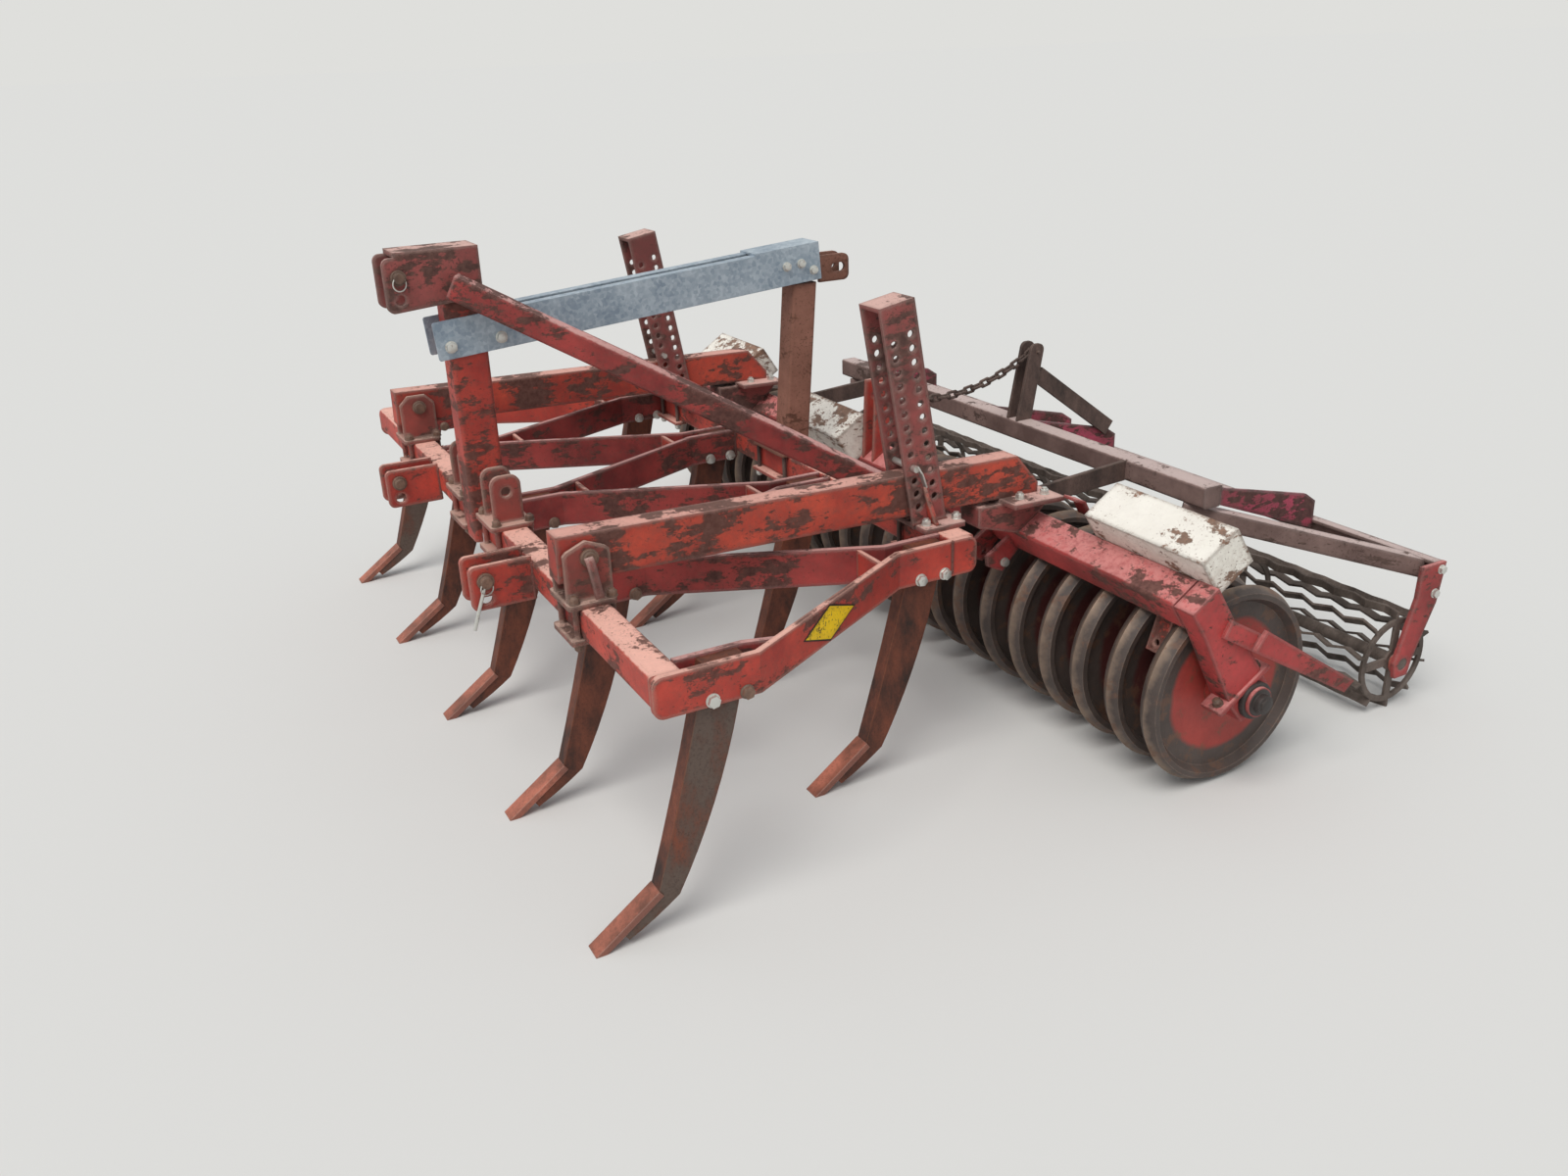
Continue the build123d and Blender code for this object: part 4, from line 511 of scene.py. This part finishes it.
def settle(piece, name, place, rounding, body, finish):
    """Turns a curve into a mesh at its place, rounds its edges and gives it to a body."""
    bpy.ops.object.select_all(action="DESELECT")
    piece.select_set(True)
    bpy.context.view_layer.objects.active = piece
    bpy.ops.object.convert(target="MESH")
    piece = bpy.context.active_object
    piece.matrix_world = place
    bpy.ops.object.transform_apply(location=True, rotation=True, scale=True)
    bpy.ops.object.mode_set(mode="EDIT")
    bpy.ops.mesh.select_all(action="SELECT")
    bpy.ops.mesh.remove_doubles(threshold=1e-5)
    bpy.ops.mesh.normals_make_consistent(inside=False)
    bpy.ops.object.mode_set(mode="OBJECT")
    if rounding:
        edge = piece.modifiers.new("edge", "BEVEL")
        edge.width = rounding / 1000
        edge.segments = 2
        edge.angle_limit = smooth_angle
        bpy.ops.object.modifier_apply(modifier="edge")
    bpy.ops.object.shade_smooth_by_angle(angle=smooth_angle)
    return fit(piece, name, body, finish)


def drawn(name, points, dimensions, closed):
    """A polyline curve object in its own coordinates, in metres."""
    line = bpy.data.curves.new(name, "CURVE")
    line.dimensions = dimensions
    strand = line.splines.new("POLY")
    strand.points.add(len(points) - 1)
    for knot, spot in zip(strand.points, points):
        knot.co = (*spot, 1.0)
    strand.use_cyclic_u = closed
    piece = bpy.data.objects.new(name, line)
    bpy.context.scene.collection.objects.link(piece)
    return piece


def standing(origin, right, facing):
    """Matrix whose own x is right and own z is facing, at a point."""
    z = Vector(facing).normalized()
    x = (Vector(right) - z * z.dot(Vector(right))).normalized()
    return Matrix.Translation(origin) @ Matrix((x, z.cross(x), z)).transposed().to_4x4()


def cut_plate(name, outline, thickness, place, body, finish, rounding=1.2):
    """A plate cut to an outline in millimetres, its thickness centred on the place's plane."""
    piece = drawn(name, [(x / 1000, y / 1000, 0.0) for x, y in outline], "2D", True)
    piece.data.fill_mode = "BOTH"
    piece.data.extrude = thickness / 2000
    return settle(piece, name, place, rounding, body, finish)


def flat_bar(name, path, width, thickness, across, body, finish):
    """A flat bar bent along points that lie in one plane; across is the direction of its width."""
    place = standing(path[0], path[-1] - path[0], across)
    inverse = place.inverted()
    half = thickness / 2000
    spots = [inverse @ spot for spot in path]
    left, right = [], []
    for i, spot in enumerate(spots):
        run = (spots[min(i + 1, len(spots) - 1)] - spots[max(i - 1, 0)]).normalized()
        off = Vector((-run.y, run.x, 0.0)) * half
        left.append(spot + off)
        right.append(spot - off)
    outline = [(p.x, p.y, 0.0) for p in left + right[::-1]]
    piece = drawn(name, outline, "2D", True)
    piece.data.fill_mode = "BOTH"
    piece.data.extrude = width / 2000
    return settle(piece, name, place, min(width, thickness) * bar_rounding, body, finish)


def round_bar(name, path, diameter, body, finish, closed=False):
    """A round wire or rod bent along points."""
    piece = drawn(name, path, "3D", closed)
    piece.data.bevel_depth = diameter / 2000
    piece.data.bevel_resolution = 2
    piece.data.use_fill_caps = True
    return settle(piece, name, Matrix.Identity(4), 0.0, body, finish)


def ring_path(centre, radius, normal, count=20):
    """Points of a circle round a centre."""
    turn = Vector(normal).to_track_quat("Z", "Y")
    angles = [2 * math.pi * i / count for i in range(count)]
    return [centre + turn @ Vector((radius / 1000 * math.cos(a), radius / 1000 * math.sin(a), 0.0))
            for a in angles]


hex_head = turned_part("hex_head", (15.5, 2.5, 28), (13.9, 10, 6))
hex_nut = turned_part("hex_nut", (15.5, 3, 28), (13.9, 13, 6), (8, 8, 20))
small_nut = turned_part("small_nut", (12.5, 2.5, 24), (11.5, 11, 6), (6.8, 4.0, 18))
small_head = turned_part("small_head", (13, 2.5, 24), (11.5, 8, 6))

# Tine bolts: heads on the machine's left of each tine, nuts on its right
heads, worn_heads, nuts = [], [], []
for places, rows in ((front_tine_x, ((89, 514), (old_bolt_y, 513))),
                     (rear_tine_x, ((771, 512), (839, 513)))):
    for x in places:
        for y, z in rows:
            row = worn_heads if y == old_bolt_y else heads
            row.append((at(x + tine_face, y, z), (1, 0, 0)))
            nuts.append((at(x - tine_face, y, z), (-1, 0, 0)))
spread("tine_bolt_heads", hex_head, heads, "cultivator_frame", "zinc_plate")
spread("tine_bolt_old_heads", hex_head, worn_heads, "cultivator_frame", "worn_bolt")
spread("tine_bolt_nuts", hex_nut, nuts, "cultivator_frame", "worn_bolt")

# Nuts on the rods of the clamps round the front beam, above the deck and below the lower plate
rod_nuts = []
for x, half in ((clevis_x[0], 59), (clevis_x[1], 59), (arm_x, 51), (-arm_x, 51)):
    for dx in (half, -half):
        for y in (43, -43):
            rod_nuts.append((at(x + dx, y, deck_z), (0, 0, 1)))
            rod_nuts.append((at(x + dx, y, 509), (0, 0, -1)))
spread("clamp_nuts", small_nut, rod_nuts, "cultivator_frame", "worn_bolt")

# Bolts through the bases of the depth posts and the rear post, with a plate under the rear beam
base_nuts = []
base_places = (("left", arm_x, 60), ("right", -arm_x, 60), ("middle", 0, 80))
for side_name, x, half in base_places:
    reach = half + 18
    outline = ((-reach, -59), (reach, -59), (reach, 59), (-reach, 59))
    place = standing(at(x, rear_beam_y, 515.5), (1, 0, 0), (0, 0, 1))
    cut_plate(f"base_plate_{side_name}", outline, 10, place, "cultivator_frame", "red_enamel", 2.0)
    for dx in (half, -half):
        for y in base_bolt_y:
            base_nuts.append((at(x + dx, y, deck_z), (0, 0, 1)))
            base_nuts.append((at(x + dx, y, 510.5), (0, 0, -1)))
spread("base_nuts", small_nut, base_nuts, "cultivator_frame", "zinc_plate")
rod = turned_part("base_rod", (6.0, 96, 16))
rod_places = [(at(x + dx, y, 508), (0, 0, 1)) for _, x, half in base_places
              for dx in (half, -half) for y in base_bolt_y]
spread("base_rods", rod, rod_places, "cultivator_frame", "rusty_steel")

# Channel bolts at the mast and at the rear clevis, and a few small ones
channel_heads, channel_small = [], []
for hand in (1, -1):
    for y, z in ((-52.6, 1024), (77, 1033)):
        channel_heads.append((at(hand * channel_face, y, z), (hand, 0, 0)))
    for y, z in ((900, 1122), (946, 1126), (985, 1105)):
        channel_small.append((at(hand * channel_face, y, z), (hand, 0, 0)))
spread("channel_bolts", hex_head, channel_heads, "cultivator_frame", "zinc_plate")
spread("channel_small_bolts", small_head, channel_small, "cultivator_frame", "zinc_plate")

# Packer frame: saddle nuts, lug bolts and bearing bolts
saddle_nuts, lug_heads, lug_nuts = [], [], []
for hand in (1, -1):
    for y in (1140, 1218):
        for dx in (-54, 54):
            saddle_nuts.append((at(hand * arm_x + dx, y, 612 - (y - 1216) * arm_fall), (0, 0, 1)))
    lug_heads.append((at(hand * lug_x + lug_half, 1151, 417), (1, 0, 0)))
    lug_nuts.append((at(hand * lug_x - lug_half, 1151, 417), (-1, 0, 0)))
spread("saddle_nuts", small_nut, saddle_nuts, "packer_frame", "zinc_plate")
spread("lug_bolt_heads", small_head, lug_heads, "packer_frame", "zinc_plate")
spread("lug_bolt_nuts", small_nut, lug_nuts, "packer_frame", "zinc_plate")

# Packer bearings: a shoe plate across the end arm's foot, the bearing's housing and its hub
housing = turned_part("housing", (46, 14, 40), (34, 10, 36), (24, 16, 28), (17, 3, 6))
housing_places = [(at(hand * 1403, 1366, 250), (hand, 0, 0)) for hand in (1, -1)]
spread("bearing_housings", housing, housing_places, "packer_frame", "bearing_black")
shoe_along = Vector((0.0, 0.85, 0.53)).normalized()
shoe_off = Vector((0.0, 0.53, -0.85)).normalized()
shoe_bolts = []
for side_name, hand in (("left", 1), ("right", -1)):
    middle = at(hand * 1379, 1338, 286)
    path = [middle - shoe_along * 0.092, middle + shoe_along * 0.078]
    flat_bar(f"bearing_shoe_{side_name}", path, 62, 13, (1, 0, 0), "packer_frame", "packer_red_enamel")
    for run in (-0.070, 0.058):
        seat = middle + shoe_along * run - shoe_off * 0.0065 + Vector((hand * 0.006, 0, 0))
        shoe_bolts.append((seat, -shoe_off))
spread("shoe_bolts", small_nut, shoe_bolts, "packer_frame", "worn_bolt")

# A small bent plate behind the tube, inboard of the near weight
bend = [at(880, 1236, 618), at(880, 1268, 606), at(880, 1290, 566)]
flat_bar("tube_rear_plate", bend, 46, 8, (1, 0, 0), "packer_frame", "packer_red_enamel")

# Crumbler end arms: two bolts at the rear edge, and the cage roller's red bosses
end_bolts = [(at(hand * 1330, y, z), (hand, 0, 0)) for hand in (1, -1) for y, z in ((2094, 389), (2082, 325))]
spread("end_arm_bolts", small_head, end_bolts, "crumbler_frame", "zinc_plate")
boss = turned_part("boss", (30, 8, 32), (22, 6, 28))
boss_places = [(at(hand * 1318, 2003, 140), (-hand, 0, 0)) for hand in (1, -1)]
spread("cage_bosses", boss, boss_places, "crumbler_frame", "red_enamel")

# Gussets on the outer faces of the depth posts, which lean forward by 10 degrees
post_up = Vector((0.0, -0.1736, 0.9848))
for side_name, hand in (("left", 1), ("right", -1)):
    foot = at(hand * (arm_x + 44), 873, deck_z)
    place = standing(foot, (hand, 0, 0), Vector((hand, 0, 0)).cross(post_up))
    rise = 1.0 if (place.to_3x3() @ Vector((0, 1, 0))).dot(post_up) > 0 else -1.0
    outline = ((0, 0), (36, 0), (36, 6 * rise), (3, 94 * rise), (0, 94 * rise))
    cut_plate(f"post_gusset_{side_name}", outline, 8, place, "cultivator_frame", "red_enamel")

# Handles of the loose pins, and their spring rings
for side_name, hand in (("left", 1), ("right", -1)):
    grip = [at(hand * x, y, z) for x, y, z in
            ((811, -6, 704), (817, -2, 702), (822, 2, 694), (825, 5, 680), (834, 12, 618))]
    flat_bar(f"arm_pin_handle_{side_name}", grip, 20, 6, (0, 1, 0.12), "cultivator_frame", "dusty_red_enamel")
    key = [at(hand * x, y, z) for x, y, z in ((812, 822, 758), (813, 836, 735), (812, 848, 702))]
    flat_bar(f"stop_pin_key_{side_name}", key, 16, 4, (hand, 0, 0), "cultivator_frame", "zinc_plate")
ring_places = (("head_pin_ring", (66, -159, 1192), 17), ("link_pin_ring_left", (491, -150, 553), 16),
               ("link_pin_ring_right", (-491, -150, 553), 16))
for name, centre, radius in ring_places:
    round_bar(name, ring_path(at(*centre), radius, (1, 0.25, 0)), 3.5, "cultivator_frame", "zinc_plate", True)
latch = [at(483, -143, 583), at(486, -152, 560), at(484, -172, 505), at(481, -189, 452)]
round_bar("latch_rod", latch, 9, "cultivator_frame", "zinc_plate")

# A bare rhombus of yellow foil with a black border where the real one has a sign, on the slanting run of
# each outer plate, which goes inward by half the tines' pitch over this length. Both are in metres.
half_pitch = 0.29125
slant_length = 0.514
for side_name, hand in (("left", 1), ("right", -1)):
    run = Vector((-half_pitch * hand, slant_length, 0.0)).normalized()
    facing = Vector((hand * slant_length, half_pitch, 0.0)).normalized()
    spot = at(hand * 1067.2, 431.3, 546)
    for label, reach, height, thickness, finish in (("border", 110, 43, 1.0, "black_foil"),
                                                    ("rhombus", 101, 38.5, 1.6, "yellow_foil")):
        outline = ((-reach, 0), (0, -height), (reach, 0), (0, height))
        place = standing(spot + facing * thickness / 2000, run, facing)
        cut_plate(f"yellow_{label}_{side_name}", outline, thickness, place, "cultivator_frame", finish, 0.0)

# Weld beads along the joints that show
bead = turned_part("bead", (4.2, 2.4, 10), (2.8, 1.4, 10))
# Metres from one scale to the next, how far they stray from the line, and the angle that strews them
scale_step = 0.0055
scale_stray = 0.0006
golden_angle = 2.399


def weld(name, runs, body, finish):
    """Overlapping scales of weld metal along straight runs."""
    places = []
    for start, end, up in runs:
        rise = Vector(up).normalized()
        lean = rise + (end - start).normalized() * 0.9
        count = max(2, int((end - start).length / scale_step))
        for i in range(count + 1):
            sway = scale_stray * math.sin(i * golden_angle)
            places.append((start + (end - start) * (i / count) + rise * sway, lean))
    return spread(name, bead, places, body, finish)


def joint(x, y, z, x2, y2, z2, up):
    """A straight run between two points in millimetres, and the way its bead faces."""
    return at(x, y, z), at(x2, y2, z2), up


def outward(offset):
    """The side that an offset along x lies on, as 1 or -1."""
    return math.copysign(1, offset)


mast_runs = [joint(x, -33, beam_top_z, x, 42, beam_top_z, (outward(x), 0, 0.8)) for x in (42, -42)]
mast_runs.append(joint(-40, 42, beam_top_z, 40, 42, beam_top_z, (0, 1, 0.8)))
weld("mast_welds", mast_runs, "cultivator_frame", "weld_bead")
link_runs = []
for hand in (1, -1):
    for dx in (link_half, -link_half):
        x = hand * (link_x + dx)
        link_runs.append(joint(x, -35, 500, x, -35, 588, (outward(hand * dx), -1, 0)))
weld("link_welds", link_runs, "cultivator_frame", "weld_bead")
post_runs = []
for x in (arm_x, -arm_x):
    for dx in (44, -44):
        post_runs.append(joint(x + dx, 826, deck_z, x + dx, 921, deck_z, (outward(dx), 0, 0.8)))
weld("post_welds", post_runs, "cultivator_frame", "weld_bead")
stay_z = 592
stay_runs = []
for x in (stay_x, -stay_x):
    stay_runs.append(joint(x - 33, 837, stay_z, x + 33, 837, stay_z, (0, -1, 0.8)))
    for dx in (35, -35):
        stay_runs.append(joint(x + dx, 839, stay_z, x + dx, 905, stay_z, (outward(dx), 0, 0.8)))
weld("stay_welds", stay_runs, "cultivator_frame", "weld_bead")
plate_runs = []
for places, y, aft in ((front_tine_x[1:4], 36, 0.6), (rear_tine_x, 861, -0.6)):
    for middle in places:
        for dx in (tine_face, -tine_face):
            x = middle + dx
            plate_runs.append(joint(x, y, 510, x, y, 588, (outward(dx), aft, 0)))
weld("plate_welds", plate_runs, "cultivator_frame", "weld_bead")

for template in (hex_head, hex_nut, small_nut, small_head, rod, housing, boss, bead):
    bpy.data.objects.remove(template)


# Floor, light and camera

def stage_paint(name, colour, roughness):
    """Plain paint of the studio floor, with no gloss."""
    material, _, shader, _ = new_finish(name)
    shader.inputs["Base Color"].default_value = linear(colour)
    shader.inputs["Roughness"].default_value = roughness
    shader.inputs["Specular IOR Level"].default_value = 0.0
    return material


# Metres across, so wide that the floor's edge lies at the horizon
floor_width = 600
bpy.ops.object.select_all(action="DESELECT")
bpy.ops.mesh.primitive_plane_add(size=floor_width, location=(0, 0, 0))
floor = bpy.context.active_object
floor.name = "studio_floor"
floor.data.materials.append(stage_paint("matt_floor_paint", "DADAD8", 1.0))

# An even sky, of which the camera, reflections and glass see one plain pale tone
world = bpy.data.worlds.new("studio_sky")
bpy.context.scene.world = world
world.use_nodes = True
sky = world.node_tree
sky.nodes["Background"].inputs["Color"].default_value = linear("EEF1F4")
sky.nodes["Background"].inputs["Strength"].default_value = 0.60
ray = add(sky, "ShaderNodeLightPath", {})
seen = add(sky, "ShaderNodeMath", {0: ray.outputs["Is Camera Ray"], 1: ray.outputs["Is Glossy Ray"]},
           operation="MAXIMUM")
seen_through = add(sky, "ShaderNodeMath", {0: seen.outputs[0], 1: ray.outputs["Is Transmission Ray"]},
                   operation="MAXIMUM")
backdrop = add(sky, "ShaderNodeBackground", {"Color": linear("DFDFDC"), "Strength": 1.0})
plain = add(sky, "ShaderNodeMixShader", {0: seen_through.outputs[0],
                                         1: sky.nodes["Background"].outputs[0], 2: backdrop.outputs[0]})
sky.links.new(plain.outputs[0], sky.nodes["World Output"].inputs["Surface"])

lamp = bpy.data.lights.new("wide_soft_sun", "SUN")
lamp.energy = 1.95
lamp.angle = math.radians(38)
lamp.color = (1.0, 0.975, 0.94)
sun = bpy.data.objects.new("wide_soft_sun", lamp)
sun.rotation_euler = Vector((-0.30, 0.42, -0.86)).to_track_quat("-Z", "Y").to_euler()
bpy.context.scene.collection.objects.link(sun)

# The photo's camera, as solved from the machine's straight members and tips and the paving's joints: its
# focal length in the photo's pixels, its place in metres and its turns in degrees
photo_width = 1600
focal_pixels = 1302.46
sensor_width = 36.0
camera_place = Vector((3.2281, -1.7710, 1.6808))
yaw, pitch, roll = (math.radians(a) for a in (62.51, -22.92, -2.11))
ahead = Vector((-math.sin(yaw) * math.cos(pitch), math.cos(yaw) * math.cos(pitch), math.sin(pitch)))
level_right = Vector((math.cos(yaw), math.sin(yaw), 0.0))
level_up = level_right.cross(ahead)
right = level_right * math.cos(roll) + level_up * math.sin(roll)
up = level_up * math.cos(roll) - level_right * math.sin(roll)
camera = bpy.data.objects.new("photo_camera", bpy.data.cameras.new("photo_camera"))
camera.data.sensor_width = sensor_width
camera.data.lens = sensor_width * focal_pixels / photo_width
camera.matrix_world = Matrix((right, up, -ahead)).transposed().to_4x4()
camera.location = camera_place
bpy.context.scene.collection.objects.link(camera)
bpy.context.scene.camera = camera
bpy.context.scene.view_settings.view_transform = "Standard"
